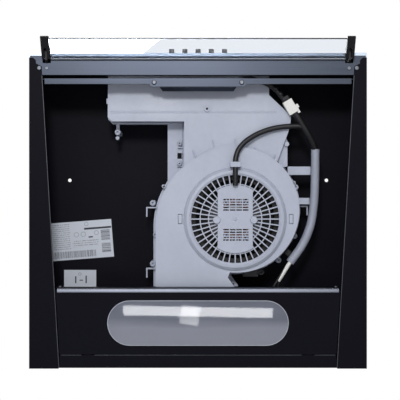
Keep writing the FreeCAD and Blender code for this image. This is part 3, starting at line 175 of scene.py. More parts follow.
class Shader:
    # one material under construction
    def __init__(self, name):
        self.material = bpy.data.materials.new(name)
        self.material.use_nodes = True
        self.tree = self.material.node_tree
        self.surface = self.tree.nodes["Principled BSDF"]
        self.place = self.add("ShaderNodeTexCoord", output="Object")

    def add(self, kind, settings=None, inputs=None, output=0):
        made = self.tree.nodes.new(kind)
        for key, value in (settings or {}).items():
            setattr(made, key, value)
        for key, value in (inputs or {}).items():
            if isinstance(value, Wire):
                self.tree.links.new(value.socket, made.inputs[key])
            else:
                made.inputs[key].default_value = value
        return Wire(self, made.outputs[output])

    def stretched(self, scale, turn=(0, 0, 0), shift=(0, 0, 0)):
        return self.add("ShaderNodeMapping", None,
                        {"Vector": self.place, "Scale": scale, "Rotation": turn, "Location": shift})

    def noise(self, scale, detail=2.0, vector=None, roughness=0.5):
        return self.add("ShaderNodeTexNoise", None, {
            "Vector": vector or self.place, "Scale": scale, "Detail": detail, "Roughness": roughness})

    def ranged(self, value, low, high, fromLow=0.0, fromHigh=1.0):
        return self.add("ShaderNodeMapRange", None, {
            "Value": value, "From Min": fromLow, "From Max": fromHigh, "To Min": low, "To Max": high})

    def mix(self, share, first, second):
        colours = {0: share, 6: first, 7: second}
        for key in (6, 7):
            if not isinstance(colours[key], Wire):
                colours[key] = (*colours[key], 1)
        return self.add("ShaderNodeMix", {"data_type": "RGBA"}, colours, output=2)

    def bump(self, height, distance, strength=1.0):
        return self.add("ShaderNodeBump", None,
                        {"Height": height, "Distance": distance, "Strength": strength})

    def axis(self, letter):
        return self.add("ShaderNodeSeparateXYZ", None, {"Vector": self.place}, output=letter)

    def finish(self, **values):
        for key, value in values.items():
            socket = self.surface.inputs[sockets[key]]
            if isinstance(value, Wire):
                self.tree.links.new(value.socket, socket)
            elif isinstance(value, tuple) and len(value) == 3:
                socket.default_value = (*value, 1)
            else:
                socket.default_value = value
        return self.material


sockets = {
    "colour": "Base Color", "roughness": "Roughness", "metallic": "Metallic", "normal": "Normal",
    "specular": "Specular IOR Level", "ior": "IOR", "transmission": "Transmission Weight",
}


# finishes

paint = {
    "deep": (0.0028, 0.0028, 0.0060), "lifted": (0.0046, 0.0046, 0.0092),
    "dust": (0.030, 0.032, 0.040), "grain": 1500, "specular": 0.06,
}


def blackPaint():
    # satin powder coat: fine orange peel, soft handling marks and a few dust specks
    shader = Shader("blackPaint")
    cloud = shader.noise(14, 4)
    peel = shader.noise(paint["grain"], 2)
    rub = shader.noise(70, 5, shader.stretched((1, 0.35, 1)))
    specks = shader.noise(900, 0) > 0.80
    coat = shader.mix(cloud, paint["deep"], paint["lifted"])
    coat = shader.mix(specks * 0.5, coat, paint["dust"])
    return shader.finish(
        colour=coat, roughness=shader.ranged(cloud * 0.6 + rub * 0.4, 0.40, 0.56),
        specular=paint["specular"], normal=shader.bump(peel, 0.00006, 0.5))


def brushedMetal(name, colour, shade, grain=(6, 900, 900), gloss=(0.26, 0.40)):
    # drawn sheet: long fine scratches along X over a slow change of tone
    shader = Shader(name)
    lines = shader.noise(1.0, 3, shader.stretched(grain), 0.7)
    cloud = shader.noise(5, 3)
    tone = shader.ranged(lines * 0.55 + cloud * 0.45, 0.0, 1.0, 0.3, 0.7)
    return shader.finish(
        colour=shader.mix(tone, shade, colour), metallic=1.0,
        roughness=shader.ranged(lines, *gloss), normal=shader.bump(lines, 0.00002, 0.35))


def mouldedPlastic(name, colour, shade, gloss=(0.40, 0.54), grain=1300, specular=0.42):
    # moulded skin: spark-eroded grain, faint flow marks and polished high spots
    shader = Shader(name)
    grit = shader.noise(grain, 3)
    flow = shader.noise(16, 4, shader.stretched((1, 0.5, 1)))
    fine = shader.noise(140, 3)
    tone = flow * 0.7 + fine * 0.3
    skin = shader.mix(shader.ranged(tone, 0.0, 1.0, 0.35, 0.65), shade, colour)
    return shader.finish(
        colour=skin, roughness=shader.ranged(tone, gloss[1], gloss[0], 0.35, 0.65),
        specular=specular, normal=shader.bump(grit, 0.00005, 0.4))


def plainSteel(name, colour, shade, gloss=(0.22, 0.40)):
    # zinc plated or sawn steel: small crystals, tiny pits
    shader = Shader(name)
    crystals = shader.add("ShaderNodeTexVoronoi", None,
                          {"Vector": shader.place, "Scale": 1800}, output="Distance")
    cloud = shader.noise(260, 4)
    return shader.finish(
        colour=shader.mix(cloud, shade, colour), metallic=1.0,
        roughness=shader.ranged(cloud * 0.6 + crystals * 0.4, *gloss),
        normal=shader.bump(crystals, 0.00002, 0.3))


def clearGlass():
    shader = Shader("clearGlass")
    smear = shader.noise(30, 5, shader.stretched((1, 0.3, 1)))
    return shader.finish(
        colour=(0.86, 0.90, 0.965), roughness=shader.ranged(smear, 0.0, 0.05, 0.45, 0.8),
        transmission=1.0, ior=1.50)


lens = {
    "clouded": (0.40, 0.42, 0.50), "paintedShade": (0.20, 0.22, 0.29), "polish": (0.012, 0.03), "clearness": 0.45,
    "shadeEdgeY": 0.2145,                      # m, where the painted shade over the lamp's fold ends
    "rimWidth": 0.8, "halfStraight": 100.8, "endRadius": 33.4,
}


def lensPlastic():
    # glossy moulding, hazy inside; the front half, over the lamp's fold, is darkened with painted shade
    shader = Shader("lensPlastic")
    haze = shader.noise(26, 4, shader.stretched((0.5, 2, 1)))
    shadeEdgeY = lens["shadeEdgeY"]
    # painted shade: the lens turns darker in front of the shade edge
    paintedShadeMask = shader.ranged(shader.axis(1) + haze * 0.010, 0.0, 1.0, shadeEdgeY - 0.002, shadeEdgeY + 0.012)
    body = shader.mix(paintedShadeMask, lens["paintedShade"], lens["clouded"])
    body = shader.mix(haze * 0.35, body, lens["clouded"])
    ripple = shader.noise(14, 1, shader.stretched((1, 3, 1)))
    return shader.finish(
        colour=body, roughness=shader.ranged(haze, *lens["polish"]), transmission=lens["clearness"],
        ior=1.46, normal=shader.bump(ripple, 0.00003, 0.2))


def copperWire():
    # turns of enamelled wire round the winding
    shader = Shader("copperWire")
    turns = shader.add("ShaderNodeTexWave", {"wave_type": "BANDS", "bands_direction": "DIAGONAL"},
                       {"Vector": shader.place, "Scale": 420, "Distortion": 1.5, "Detail": 2.0})
    return shader.finish(
        colour=shader.mix(turns, (0.26, 0.055, 0.020), (0.80, 0.30, 0.13)), metallic=0.75,
        roughness=shader.ranged(turns, 0.45, 0.28), normal=shader.bump(turns, 0.0002, 0.6))


def cableSheath(name, colour, shade, gloss=(0.34, 0.50)):
    shader = Shader(name)
    grit = shader.noise(900, 3)
    rub = shader.noise(90, 4)
    return shader.finish(
        colour=shader.mix(rub, shade, colour), roughness=shader.ranged(rub, *gloss), specular=0.4,
        normal=shader.bump(grit, 0.00004, 0.5))


ratingPrint = {
    "corner": (-0.238, 0.069, 0), "turn": -4.4, "paper": (0.60, 0.64, 0.72), "ink": (0.035, 0.038, 0.055),
    "rows": [((2, 33), (2, 44), 3.2), ((36, 78), (30, 41), 3.4)],             # mm along and down, row height
    "upright": [((3, 72), (46.5, 57))], "flat": [((82, 96), (16, 33)), ((82, 96), (37, 52))],
    "blocks": [((56, 99), (11, 14)), ((62, 69), (25, 27))],
    "rings": [(43, 21, 4.0), (54, 21, 4.0), (75, 20, 3.6), (60, 5, 3.2)],
}
batchPrint = {
    "corner": (-0.213, 0.1425, 0), "turn": 0, "paper": (0.60, 0.64, 0.72), "ink": (0.030, 0.032, 0.050),
    "rows": [], "upright": [], "flat": [],
    "blocks": [((17.5, 19.5), (10, 21)), ((24.5, 30), (15.5, 17)), ((34, 36), (9, 21))],
    "rings": [(25, 6.5, 2.4)],
}


def printedLabel(name, layout):
    # plain printed marks: rows of dashes, bar strips, solid blocks and rings
    shader = Shader(name)
    local = shader.add("ShaderNodeMapping", {"vector_type": "TEXTURE"}, {
        "Vector": shader.place, "Location": layout["corner"],
        "Rotation": (0, 0, math.radians(layout["turn"])), "Scale": (mm, mm, mm)})
    along = shader.add("ShaderNodeSeparateXYZ", None, {"Vector": local}, output=0)
    down = shader.add("ShaderNodeSeparateXYZ", None, {"Vector": local}, output=1)

    def stretchedNoise(detail, scale):
        stretch = shader.add("ShaderNodeMapping", None, {"Vector": local, "Scale": scale})
        return shader.noise(1, detail, stretch)

    def within(spanAlong, spanDown):
        across = (along > spanAlong[0]) * (along < spanAlong[1])
        return across * ((down > spanDown[0]) * (down < spanDown[1]))

    marks = along * 0
    for spanAlong, spanDown, pitch in layout["rows"]:
        row = (down / pitch).fraction() < 0.42
        dashes = stretchedNoise(1, (0.9, 0.31, 0))
        marks = marks + within(spanAlong, spanDown) * row * (dashes > 0.47) * 0.55
    for spanAlong, spanDown in layout["upright"]:
        strips = stretchedNoise(2, (1.1, 0, 0))
        marks = marks + within(spanAlong, spanDown) * (strips > 0.50) * 0.8
    for spanAlong, spanDown in layout["flat"]:
        strips = stretchedNoise(2, (0, 1.1, 0))
        marks = marks + within(spanAlong, spanDown) * (strips > 0.49) * 0.8
    for spanAlong, spanDown in layout["blocks"]:
        marks = marks + within(spanAlong, spanDown)
    for x, y, radius in layout["rings"]:
        reach = ((along - x) * (along - x) + (down - y) * (down - y)).root()
        marks = marks + (reach < radius) * (reach > radius - 0.7) * 0.6
    fibre = shader.noise(700, 3)
    paper = shader.mix(fibre * 0.12, layout["paper"], (0.45, 0.48, 0.56))
    return shader.finish(
        colour=shader.mix(marks, paper, layout["ink"]), roughness=shader.ranged(fibre, 0.5, 0.62),
        specular=0.35, normal=shader.bump(fibre, 0.00003, 0.4))


finishes = {
    "black_paint": blackPaint(),
    "brushed_metal": brushedMetal("brushedMetal", (0.56, 0.63, 0.72), (0.44, 0.50, 0.58)),
    "grey_metal": brushedMetal("greyMetal", (0.063, 0.072, 0.094), (0.044, 0.051, 0.068), gloss=(0.30, 0.44)),
    "zinc_steel": plainSteel("zincSteel", (0.20, 0.215, 0.25), (0.11, 0.12, 0.14), (0.34, 0.5)),
    "housing_grey": mouldedPlastic("housingGrey", (0.435, 0.465, 0.565), (0.395, 0.425, 0.520)),
    "dark_plastic": mouldedPlastic("darkPlastic", (0.030, 0.031, 0.040), (0.020, 0.021, 0.028)),
    "black_plastic": mouldedPlastic(
        "blackPlastic", (0.012, 0.012, 0.015), (0.007, 0.007, 0.009), specular=0.3),
    "button_grey": mouldedPlastic("buttonGrey", (0.30, 0.29, 0.29), (0.22, 0.21, 0.21), (0.25, 0.38), 900),
    "clear_glass": clearGlass(),
    "lens_plastic": lensPlastic(),
    "white_plastic": mouldedPlastic("whitePlastic", (0.80, 0.80, 0.78), (0.70, 0.70, 0.68)),
    "bulb_glass": mouldedPlastic("bulbGlass", (0.86, 0.86, 0.82), (0.78, 0.78, 0.74), (0.2, 0.3), 700),
    "white_enamel": mouldedPlastic("whiteEnamel", (0.78, 0.79, 0.82), (0.70, 0.71, 0.74), (0.18, 0.30), 500),
    "copper_wire": copperWire(),
    "lamination_steel": plainSteel("laminationSteel", (0.34, 0.34, 0.35), (0.22, 0.22, 0.23), (0.35, 0.5)),
    "lead_rubber": cableSheath("leadRubber", (0.012, 0.012, 0.015), (0.006, 0.006, 0.008)),
    "conduit_grey": cableSheath("conduitGrey", (0.33, 0.35, 0.43), (0.27, 0.29, 0.36), (0.30, 0.42)),
    "label_paper": mouldedPlastic("labelPaper", (0.60, 0.64, 0.72), (0.54, 0.58, 0.66), (0.45, 0.6), 600),
}
for node in nodes.values():
    node.material_slots[0].material = finishes[node.material_slots[0].material.name.split(".")[0]]
nodes["rating_label"].material_slots[0].material = printedLabel("ratingPrint", ratingPrint)
nodes["batch_label"].material_slots[0].material = printedLabel("batchPrint", batchPrint)
nodes["motor_frame"].material_slots[0].material = finishes["dark_plastic"]      # painted shade: frame and stator made dark for the shade deep inside the motor
nodes["motor_stator"].material_slots[0].material = finishes["dark_plastic"]
print("finishes are on", len(nodes), "nodes")


# mesh tools

def makePiece(name, bm, slotName, body="hood", material=None, smoothBelow=32, replaced=()):
    mesh = bpy.data.meshes.new(name)
    bm.to_mesh(mesh)
    bm.free()
    mesh.shade_smooth()
    mesh.set_sharp_from_angle(angle=math.radians(smoothBelow))
    mesh.materials.append(material or finishes[slotName])
    piece = bpy.data.objects.new(name, mesh)
    scene.collection.objects.link(piece)
    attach(piece, body)
    if replaced:
        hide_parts(*replaced)
    return piece


def roundEdges(bm, width, segments=2, sharpest=28, edges=None):
    if edges is None:
        limit = math.radians(sharpest)
        edges = [edge for edge in bm.edges if len(edge.link_faces) == 2 and edge.calc_face_angle() > limit]
    bmesh.ops.bevel(bm, geom=edges, offset=width * mm, offset_type="OFFSET", affect="EDGES",
                    segments=segments, profile=0.5, material=-1, clamp_overlap=True)


def addPlate(bm, points, low, high):
    # a flat outline seen from above, given its thickness
    face = bm.faces.new([bm.verts.new(Vector((x, y, low)) * mm) for x, y in points])
    grown = bmesh.ops.extrude_face_region(bm, geom=[face])["geom"]
    raised = [item for item in grown if isinstance(item, bmesh.types.BMVert)]
    bmesh.ops.translate(bm, verts=raised, vec=(0, 0, (high - low) * mm))


def addFold(bm, section, left, right):
    # an outline across the hood, in y and z, pulled along X
    face = bm.faces.new([bm.verts.new(Vector((left, y, z)) * mm) for y, z in section])
    grown = bmesh.ops.extrude_face_region(bm, geom=[face])["geom"]
    ends = [item for item in grown if isinstance(item, bmesh.types.BMVert)]
    bmesh.ops.translate(bm, verts=ends, vec=((right - left) * mm, 0, 0))


def addBlock(bm, centre, size, turn=0):
    placed = Matrix.Translation(Vector(centre) * mm) @ Matrix.Rotation(math.radians(turn), 4, "Z")
    bmesh.ops.create_cube(bm, size=1, matrix=placed @ Matrix.Diagonal((*(Vector(size) * mm), 1)))


def addRod(bm, start, end, radius, tip=None, segments=24):
    first, last = Vector(start) * mm, Vector(end) * mm
    along = last - first
    placed = Matrix.Translation((first + last) / 2) @ along.to_track_quat("Z", "Y").to_matrix().to_4x4()
    bmesh.ops.create_cone(bm, cap_ends=True, segments=segments, radius1=radius * mm,
                          radius2=(radius if tip is None else tip) * mm, depth=along.length, matrix=placed)


def addArc(bm, centre, inner, outer, first, last, low, high, steps=20):
    # a curved wall, spun from its cross section about an upright axis
    ray = Vector((math.cos(math.radians(first)), math.sin(math.radians(first)), 0))
    hub = Vector((*centre, 0))
    corners = [hub + ray * reach + Vector((0, 0, height))
               for reach, height in ((inner, low), (outer, low), (outer, high), (inner, high))]
    face = bm.faces.new([bm.verts.new(corner * mm) for corner in corners])
    bmesh.ops.spin(bm, geom=[face], cent=hub * mm, axis=(0, 0, 1), angle=math.radians(last - first),
                   steps=steps)


def addTurned(bm, centre, profile, steps=28):
    # a closed outline of (reach, height), spun once round an upright axis
    hub = Vector((*centre, 0))
    verts = [bm.verts.new((hub + Vector((reach, 0, height))) * mm) for reach, height in profile]
    edges = [bm.edges.new((verts[step - 1], verts[step])) for step in range(len(verts))]
    bmesh.ops.spin(bm, geom=verts + edges, cent=hub * mm, axis=(0, 0, 1), angle=math.tau, steps=steps,
                   use_merge=True)


def addTube(bm, points, radius):
    # a round wire along a smooth line
    data = bpy.data.curves.new("route", "CURVE")
    data.dimensions = "3D"
    spline = data.splines.new("NURBS")
    spline.points.add(len(points) - 1)
    for point, place in zip(spline.points, points):
        point.co = (*(Vector(place) * mm), 1)
    spline.order_u = 3
    spline.use_endpoint_u = True
    spline.resolution_u = 6
    data.bevel_depth = radius * mm
    data.bevel_resolution = 3
    data.use_fill_caps = True
    route = bpy.data.objects.new("route", data)
    scene.collection.objects.link(route)
    mesh = bpy.data.meshes.new_from_object(route.evaluated_get(bpy.context.evaluated_depsgraph_get()))
    bm.from_mesh(mesh)
    bpy.data.meshes.remove(mesh)
    bpy.data.objects.remove(route)
    bpy.data.curves.remove(data)


def closeUp(bm):
    bmesh.ops.remove_doubles(bm, verts=bm.verts, dist=0.002 * mm)
    bmesh.ops.recalc_face_normals(bm, faces=bm.faces)


def evenNormals(piece):
    modifier = piece.modifiers.new("normals", "WEIGHTED_NORMAL")
    modifier.keep_sharp = True
    modifier.weight = 60


def softened(node, width, segments=2, sharpest=28):
    # the CAD sheet or moulding with its sharp edges broken
    bm = bmesh.new()
    bm.from_mesh(nodes[node].data)
    bmesh.ops.remove_doubles(bm, verts=bm.verts, dist=0.004 * mm)
    bmesh.ops.dissolve_limit(bm, angle_limit=math.radians(0.5), verts=bm.verts, edges=bm.edges)
    roundEdges(bm, width, segments, sharpest)
    slotName = slotOf(node)
    piece = makePiece(node + "_soft", bm, slotName, bodyOf(node), replaced=(node,))
    evenNormals(piece)
    return piece


def slotOf(node):
    for part in frame["record"]["subparts"]:
        if part["node"] == node:
            return part["material_slot"]


def bodyOf(node):
    for body, held in frame["record"]["behaviour"]["bodies"].items():
        if node in held:
            return body


# how far each sheet or moulding's edges are rounded, in mm
edgeRadii = {
    "front_fascia": 0.35, "front_beam": 0.35, "filter_rail": 0.3, "switch_bracket": 0.6,
    "side_panel_left": 0.3, "side_panel_right": 0.3, "roof_panel": 0.25, "rear_panel": 0.3,
    "front_panel": 0.3, "lamp_panel": 0.3,
    "fan_cover": 1.6, "fan_base": 0.6, "outlet_duct": 1.0, "conduit_brackets": 0.6,
    "motor_cap": 0.15, "cable_clip": 0.6, "outlet_spigot": 0.4,
    "visor_arm_left": 0.7, "visor_arm_right": 0.7, "visor_glass": 0.5,
    "hinge_bracket_left": 0.4, "hinge_bracket_right": 0.4,
    "connector_socket": 2.2, "connector_plug": 1.8, "conduit_strap": 0.8,
    "button_1": 0.9, "button_2": 0.9, "button_3": 0.9, "button_4": 0.9, "button_5": 0.9,
    "motor_knobs": 2.4, "lamp_lens": 0.9, "box_base": 0.6, "cord_grommet": 0.7, "switch_module": 0.8,
}
for node, radius in edgeRadii.items():
    softened(node, radius)
print("edges are rounded on", len(edgeRadii), "pieces")


# moulded details of the fan housing

housing = {
    "discFace": -88, "boxFace": -80, "seam": -46,          # mm, the three levels seen from below
    "disc": (58, 46), "fan": (56, 60),
    "ribs": [((-8, -45), (-3.5, -33.5)), ((22, -59.5), (25.2, -46)), ((55.4, -62), (55.8, -48.7)),
             ((85.5, -48), (87.5, -40.5)), ((116.7, -37), (113, -26.5))],
    "ledge": (94, 99.5, -129, -91),                        # reach and angles round the disc
    "lips": [(73.2, 75.8, -120, -96.5), (73.2, 75.8, -81, -57)],
    "tabs": [(-27, 60), (140.6, 60)], "tabSize": (5.4, 13.4, 5),
    "clips": [(-52.5, 10.5, -52), (-66, 84.4, 0), (147.5, 5.5, 28), (148.5, 77, -20), (121, 117, -48)],
    "lead": (52.2, 63.4, -24.5, -12),                      # left, right, front and rear of the lead's walls
    "hooks": [(47, -14.2), (68.5, -14.2)], "capBoss": (2.5, -95, -96.3),
    "bead": [(-104.5, 0.5), (-103.5, -0.1), (-101.6, -0.7), (-100.2, -0.1), (-99.8, 0.5)],
    "beadEnds": (-133, 119),                               # the bead's outline is y, and z over the face
    "post": (135, -53.7, 3.6), "gusset": [(118, -33), (134, -66), (136.5, -58), (136.5, -20), (128, -18)],
    "cornerLug": (-137.5, -119, -72), "rounding": 0.4,
}


def housingDetails():
    bm = bmesh.new()
    disc, face, low = housing["disc"], housing["boxFace"], housing["discFace"]
    for start, end in housing["ribs"]:
        middle = [(first + second) / 2 for first, second in zip(start, end)]
        run = Vector(end) - Vector(start)
        addBlock(bm, (*middle, face - 1.2), (run.length, 1.1, 4.5), math.degrees(math.atan2(run.y, run.x)))
    inner, outer, first, last = housing["ledge"]
    addArc(bm, disc, inner, outer, first, last, face - 4, face + 1)
    wide, base, tip = housing["capBoss"]
    addTurned(bm, housing["fan"], [(0.4, base), (wide, base), (wide, tip + 0.4), (wide - 0.6, tip),
                                   (0.4, tip)])
    for inner, outer, first, last in housing["lips"]:
        addArc(bm, housing["fan"], inner, outer, first, last, low - 2.2, low + 1)
    left, right, front, rear = housing["lead"]
    for x in (left, right):
        addBlock(bm, (x, (front + rear) / 2, low - 1.6), (1.1, rear - front, 5))
    addFold(bm, [(y, face + z) for y, z in housing["bead"]], *housing["beadEnds"])
    for x, y in housing["hooks"]:
        addBlock(bm, (x, y, low - 1), (3, 1.6, 3.4))
    x, y, radius = housing["post"]
    addRod(bm, (x, y, -62), (x, y, -76), radius)
    addPlate(bm, housing["gusset"], -70, -66)
    addBlock(bm, housing["cornerLug"], (3.4, 8, 9))
    closeUp(bm)
    roundEdges(bm, housing["rounding"], 2)
    evenNormals(makePiece("housing_details", bm, "housing_grey"))


def housingLatches():
    # snap tabs standing in their windows, and clips along the seam
    bm = bmesh.new()
    for x, y in housing["tabs"]:
        addBlock(bm, (x, y, housing["discFace"] + 1.4), housing["tabSize"])
    for x, y, turn in housing["clips"]:
        addBlock(bm, (x, y, housing["seam"] - 4), (4, 7, 11), turn)
        addBlock(bm, (x, y, housing["seam"] - 8), (6, 3.4, 3), turn)
    closeUp(bm)
    roundEdges(bm, 0.5, 2)
    evenNormals(makePiece("housing_latches", bm, "housing_grey"))


shelf = {
    "level": -46, "rounding": 0.4,
    "posts": [(-28.2, -56, 3.6, 10), (-28.6, -24.8, 3.6, 9)],        # x, y, radius, height
}


def shelfDetails():
    # the step beside the stem: two posts, a stop and a low wall
    bm = bmesh.new()
    level = shelf["level"]
    for x, y, radius, height in shelf["posts"]:
        addTurned(bm, (x, y), [(radius, level), (radius, level - height + 1), (radius - 1, level - height),
                               (1.2, level - height), (1.2, level)])
    addBlock(bm, (-27.5, -50, level - 3), (8, 2, 6))
    addBlock(bm, (-27.5, -20.5, level - 2), (9, 2, 5))
    addBlock(bm, (-24.6, -57, level - 1.4), (1.2, 60, 3))
    closeUp(bm)
    roundEdges(bm, shelf["rounding"], 2)
    evenNormals(makePiece("shelf_details", bm, "housing_grey"))


bracket = {
    "halfLength": 57, "front": -137.2, "rear": -130.6, "top": -106, "bottom": -114.4,
    "slant": 4, "rounding": 0.4,
}


def bracketSkirt():
    # the pressed fold that slopes up from the rear edge of the switch bracket
    bm = bmesh.new()
    half, front, rear = bracket["halfLength"], bracket["front"], bracket["rear"]
    bottom, top = bracket["bottom"], bracket["top"]
    section = [(front, bottom), (front + 1.4, bottom - 0.6), (rear, top - 1.2), (rear - 1, top),
               (front, bottom + 2)]
    addFold(bm, section, -half, half)
    for vert in bm.verts:
        if vert.co.y > (rear - 1.5) * mm:
            vert.co.x -= math.copysign(bracket["slant"] * mm, vert.co.x)
    closeUp(bm)
    roundEdges(bm, bracket["rounding"], 2)
    evenNormals(makePiece("bracket_skirt", bm, "grey_metal"))


trims = {
    "rollY": 162.4, "rollZ": -116.4, "rollHalf": 208.5,
    "flangeFront": (-231.5, -153), "flangeRear": (-206.4, 279), "flangeLevel": -120.05, "flangeWidth": 0.9,
    "rearY": 260.6, "rearLevel": -119.3, "rearSpans": [(-203, -173), (-153, 153), (173, 203)],
}


def sheetEdgeHighlights():
    # lighter strips along the painted sheets' edges: bare cut metal, lightened further as a painted highlight
    # where the lips catch the light
    bm = bmesh.new()
    frontX, frontY = trims["flangeFront"]
    rearX, rearY = trims["flangeRear"]
    wide, level = trims["flangeWidth"], trims["flangeLevel"]
    for side in (-1, 1):
        addPlate(bm, [(-side * frontX, frontY), (-side * rearX, rearY), (-side * (rearX + wide), rearY),
                      (-side * (frontX + wide), frontY)], level, level + 0.5)
    for left, right in trims["rearSpans"]:
        addPlate(bm, [(left, trims["rearY"]), (right, trims["rearY"]), (right, trims["rearY"] + 0.7),
                      (left, trims["rearY"] + 0.7)], trims["rearLevel"], trims["rearLevel"] + 0.5)
    closeUp(bm)
    makePiece("sheet_edge_highlights", bm, "black_paint", material=bareEdgeHighlight())


def bareEdgeHighlight():
    shader = Shader("bareEdgeHighlight")
    rub = shader.noise(40, 3)
    # painted highlight: lighter than the black paint, partly bare metal
    return shader.finish(colour=shader.mix(rub, (0.030, 0.032, 0.040), (0.085, 0.09, 0.105)), metallic=0.4,
                         roughness=shader.ranged(rub, 0.35, 0.5))


def panelRoll():
    # grey satin trim over the rolled front edge of the lamp panel; its light grey is a painted highlight for
    # the shine on the black roll, with a real metal sheen
    bm = bmesh.new()
    y, z, half = trims["rollY"], trims["rollZ"], trims["rollHalf"]
    section = [(y - 1.2, z + 3.4), (y - 1.4, z), (y - 0.4, z - 1.8), (y + 1.8, z - 2.9), (y + 5.6, z - 3.2),
               (y + 5.6, z - 2.2), (y + 0.6, z - 0.8), (y - 0.2, z + 3.4)]
    addFold(bm, section, -half, half)
    closeUp(bm)
    # painted highlight: light grey metal standing in for the shine along the black roll
    rollHighlight = brushedMetal("rollHighlightTrim", (0.19, 0.20, 0.24), (0.12, 0.13, 0.16), gloss=(0.38, 0.5))
    makePiece("panel_roll", bm, "grey_metal", material=rollHighlight, smoothBelow=50)


rivet = {
    "reach": 4.4, "core": 1.5, "height": 2.6,
    "places": [(-70, 36), (-70, 130), (151, 11.6), (149, 87), (124.5, 124), (97, 143), (-124.4, -73.5)],
    "peg": (-124.4, -64.3), "pegOutline": [(0.5, -42), (3, -42), (3, -51), (2.2, -52), (0.5, -52)],
}


def housingRivets():
    # hollow push rivets in the housing's bosses
    bm = bmesh.new()
    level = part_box("housing_rivets")[0][2] / mm
    reach, core = rivet["reach"], rivet["core"]
    head = level - rivet["height"]
    for place in rivet["places"]:
        addTurned(bm, place, [(core, level + 2), (reach, level + 2), (reach, head + 1.6),
                              (reach - 1, head + 0.6), (core + 0.6, head + 0.6), (core, head + 1.2)])
    addTurned(bm, rivet["peg"], rivet["pegOutline"])
    closeUp(bm)
    evenNormals(makePiece("push_rivets", bm, "housing_grey", replaced=("housing_rivets",)))


wiring = {
    "bundle": [((131.5, -117, -86), (124, -129, -86), (112, -140, -86.5), (96, -147.5, -88), (80, -152, -91),
                (65, -156, -95), (51, -161.5, -99)), 1.5, 2.3],
    "tail": [((150, -95, -88), (156, -86, -86), (165, -71, -83), (173, -58, -77), (178.2, -48, -71)),
             1.4, 2.0],
    "whiteSleeve": [(140.4, 125.6, -74.5), (135, 134, -75.5), (128, 145, -77), (121.5, 154.5, -79)],
    "thinWires": [[(121.7, 153.7, -80), (118, 158, -82), (114, 163, -84), (107, 176, -91)],
                  [(122.5, 155, -79), (122, 160, -81), (119, 165, -86), (112, 178, -92)]],
    "stub": [(176.2, -49, -73), (175.4, -53, -74.5), (175.0, -57.5, -75.5)],
    "tailSleeve": [(147, -80.5, -86), (153, -80.4, -85.8), (158, -79, -85), (162, -75.5, -84)],
    "tape": [((124.5, -128.3, -86), 58), ((117, -136.5, -86.3), 45), ((110, -141, -86.8), 35)],
    "tapeSize": (5.2, 4.6, 4.6),
    "sleeveRadius": 3.9, "whiteRadius": 3.1, "stubRadius": 1.7, "thinRadius": 1.0,
}


def wireBundle(route, spread, radius, count):
    # separate wires that lie round one line and wander a little
    bm = bmesh.new()
    for wire in range(count):
        points = []
        for step, place in enumerate(route):
            angle = math.tau * wire / count + 0.9 * step
            points.append((place[0] + spread * math.cos(angle), place[1] + spread * 0.7 * math.sin(angle),
                           place[2] + spread * math.sin(angle + 0.6)))
        addTube(bm, points, radius)
    closeUp(bm)
    return bm


def leads():
    route, spread, radius = wiring["bundle"]
    bm = wireBundle(route, spread, radius, 4)
    for centre, turn in wiring["tape"]:
        reach = Matrix.Translation(Vector(centre) * mm) @ Matrix.Rotation(math.radians(turn), 4, "Z")
        bmesh.ops.create_uvsphere(bm, u_segments=20, v_segments=12, radius=mm,
                                  matrix=reach @ Matrix.Diagonal((*wiring["tapeSize"], 1)))
    makePiece("switch_bundle", bm, "lead_rubber", replaced=("switch_lead",), smoothBelow=60)
    route, spread, radius = wiring["tail"]
    bm = wireBundle(route, spread, radius, 3)
    addTube(bm, wiring["tailSleeve"], wiring["sleeveRadius"])
    makePiece("tail_wires", bm, "lead_rubber", smoothBelow=60)
    bm = bmesh.new()
    addTube(bm, wiring["whiteSleeve"], wiring["whiteRadius"])
    addTube(bm, wiring["stub"], wiring["stubRadius"])
    closeUp(bm)
    makePiece("lamp_sleeve", bm, "white_plastic", smoothBelow=60)
    bm = bmesh.new()
    for route in wiring["thinWires"]:
        addTube(bm, route, wiring["thinRadius"])
    closeUp(bm)
    makePiece("lamp_wires", bm, "lead_rubber", smoothBelow=60)


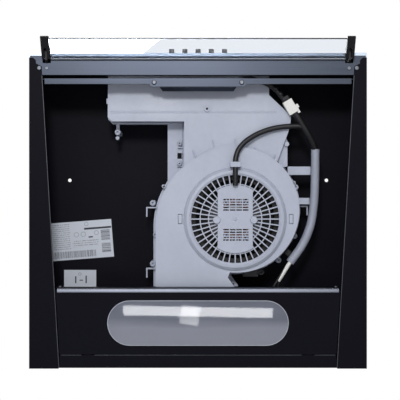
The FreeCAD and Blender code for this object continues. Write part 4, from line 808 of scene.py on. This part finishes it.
def lensRim():
    # thin rim standing round the lens, made bright as a painted highlight along the lens edge
    bm = bmesh.new()
    low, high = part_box("lamp_lens")
    centreY = (low[1] + high[1]) / 2 / mm
    half, reach = lens["halfStraight"], lens["endRadius"]
    level = low[2] / mm
    wide = lens["rimWidth"]
    for side in (-1, 1):
        start = 90 if side < 0 else -90
        addArc(bm, (side * half, centreY), reach - wide, reach, start, start + 180, level - 0.15, level + 1)
        addBlock(bm, (0, centreY + side * (reach - wide / 2), level + 0.42), (2 * half, wide, 1.15))
    closeUp(bm)
    makePiece("lens_rim", bm, "lens_plastic", material=rimHighlight())


def rimHighlight():
    shader = Shader("rimHighlight")
    haze = shader.noise(40, 2)
    # painted highlight: a light colour for the shine along the lens edge
    return shader.finish(colour=shader.mix(haze, (0.34, 0.36, 0.43), (0.52, 0.54, 0.62)),
                         roughness=shader.ranged(haze, 0.15, 0.3))


bearer = {
    "plate": [(69, 137), (90.6, 137), (92, 149), (69, 149)], "level": -60, "thick": 6, "boss": (97.3, 142.4),
    "bossOutline": [(1.6, -47.8), (4.6, -47.8), (4.6, -58), (3.8, -59), (1.6, -59)],
}


def rearBearer():
    # dark bracket between the housing and the lamp's wall
    bm = bmesh.new()
    addPlate(bm, bearer["plate"], bearer["level"], bearer["level"] + bearer["thick"])
    addTurned(bm, bearer["boss"], bearer["bossOutline"])
    addBlock(bm, (92.5, 142.5, -56), (8, 6, 4))
    closeUp(bm)
    roundEdges(bm, 0.5, 2)
    evenNormals(makePiece("rear_bearer", bm, "black_plastic", material=finishes["dark_plastic"]))


housingDetails()
housingLatches()
shelfDetails()
bracketSkirt()
sheetEdgeHighlights()
panelRoll()
housingRivets()
leads()
rearBearer()
lensRim()
print("details are made")


# floor

def makeFloor():
    shader = Shader("floorPaper")
    cloud = shader.noise(0.4, 3)
    grain = shader.noise(300, 2)
    material = shader.finish(colour=shader.mix(cloud, (0.80, 0.81, 0.82), (0.84, 0.85, 0.86)),
                             roughness=0.9, normal=shader.bump(grain, 0.0002, 0.3))
    bm = bmesh.new()
    bmesh.ops.create_grid(bm, x_segments=1, y_segments=1, size=studio["floorSize"] / 2)
    bmesh.ops.translate(bm, verts=bm.verts, vec=(0, 0, studio["floorHeight"]))
    mesh = bpy.data.meshes.new("floor")
    bm.to_mesh(mesh)
    bm.free()
    mesh.materials.append(material)
    floor = bpy.data.objects.new("floor", mesh)
    scene.collection.objects.link(floor)


makeFloor()
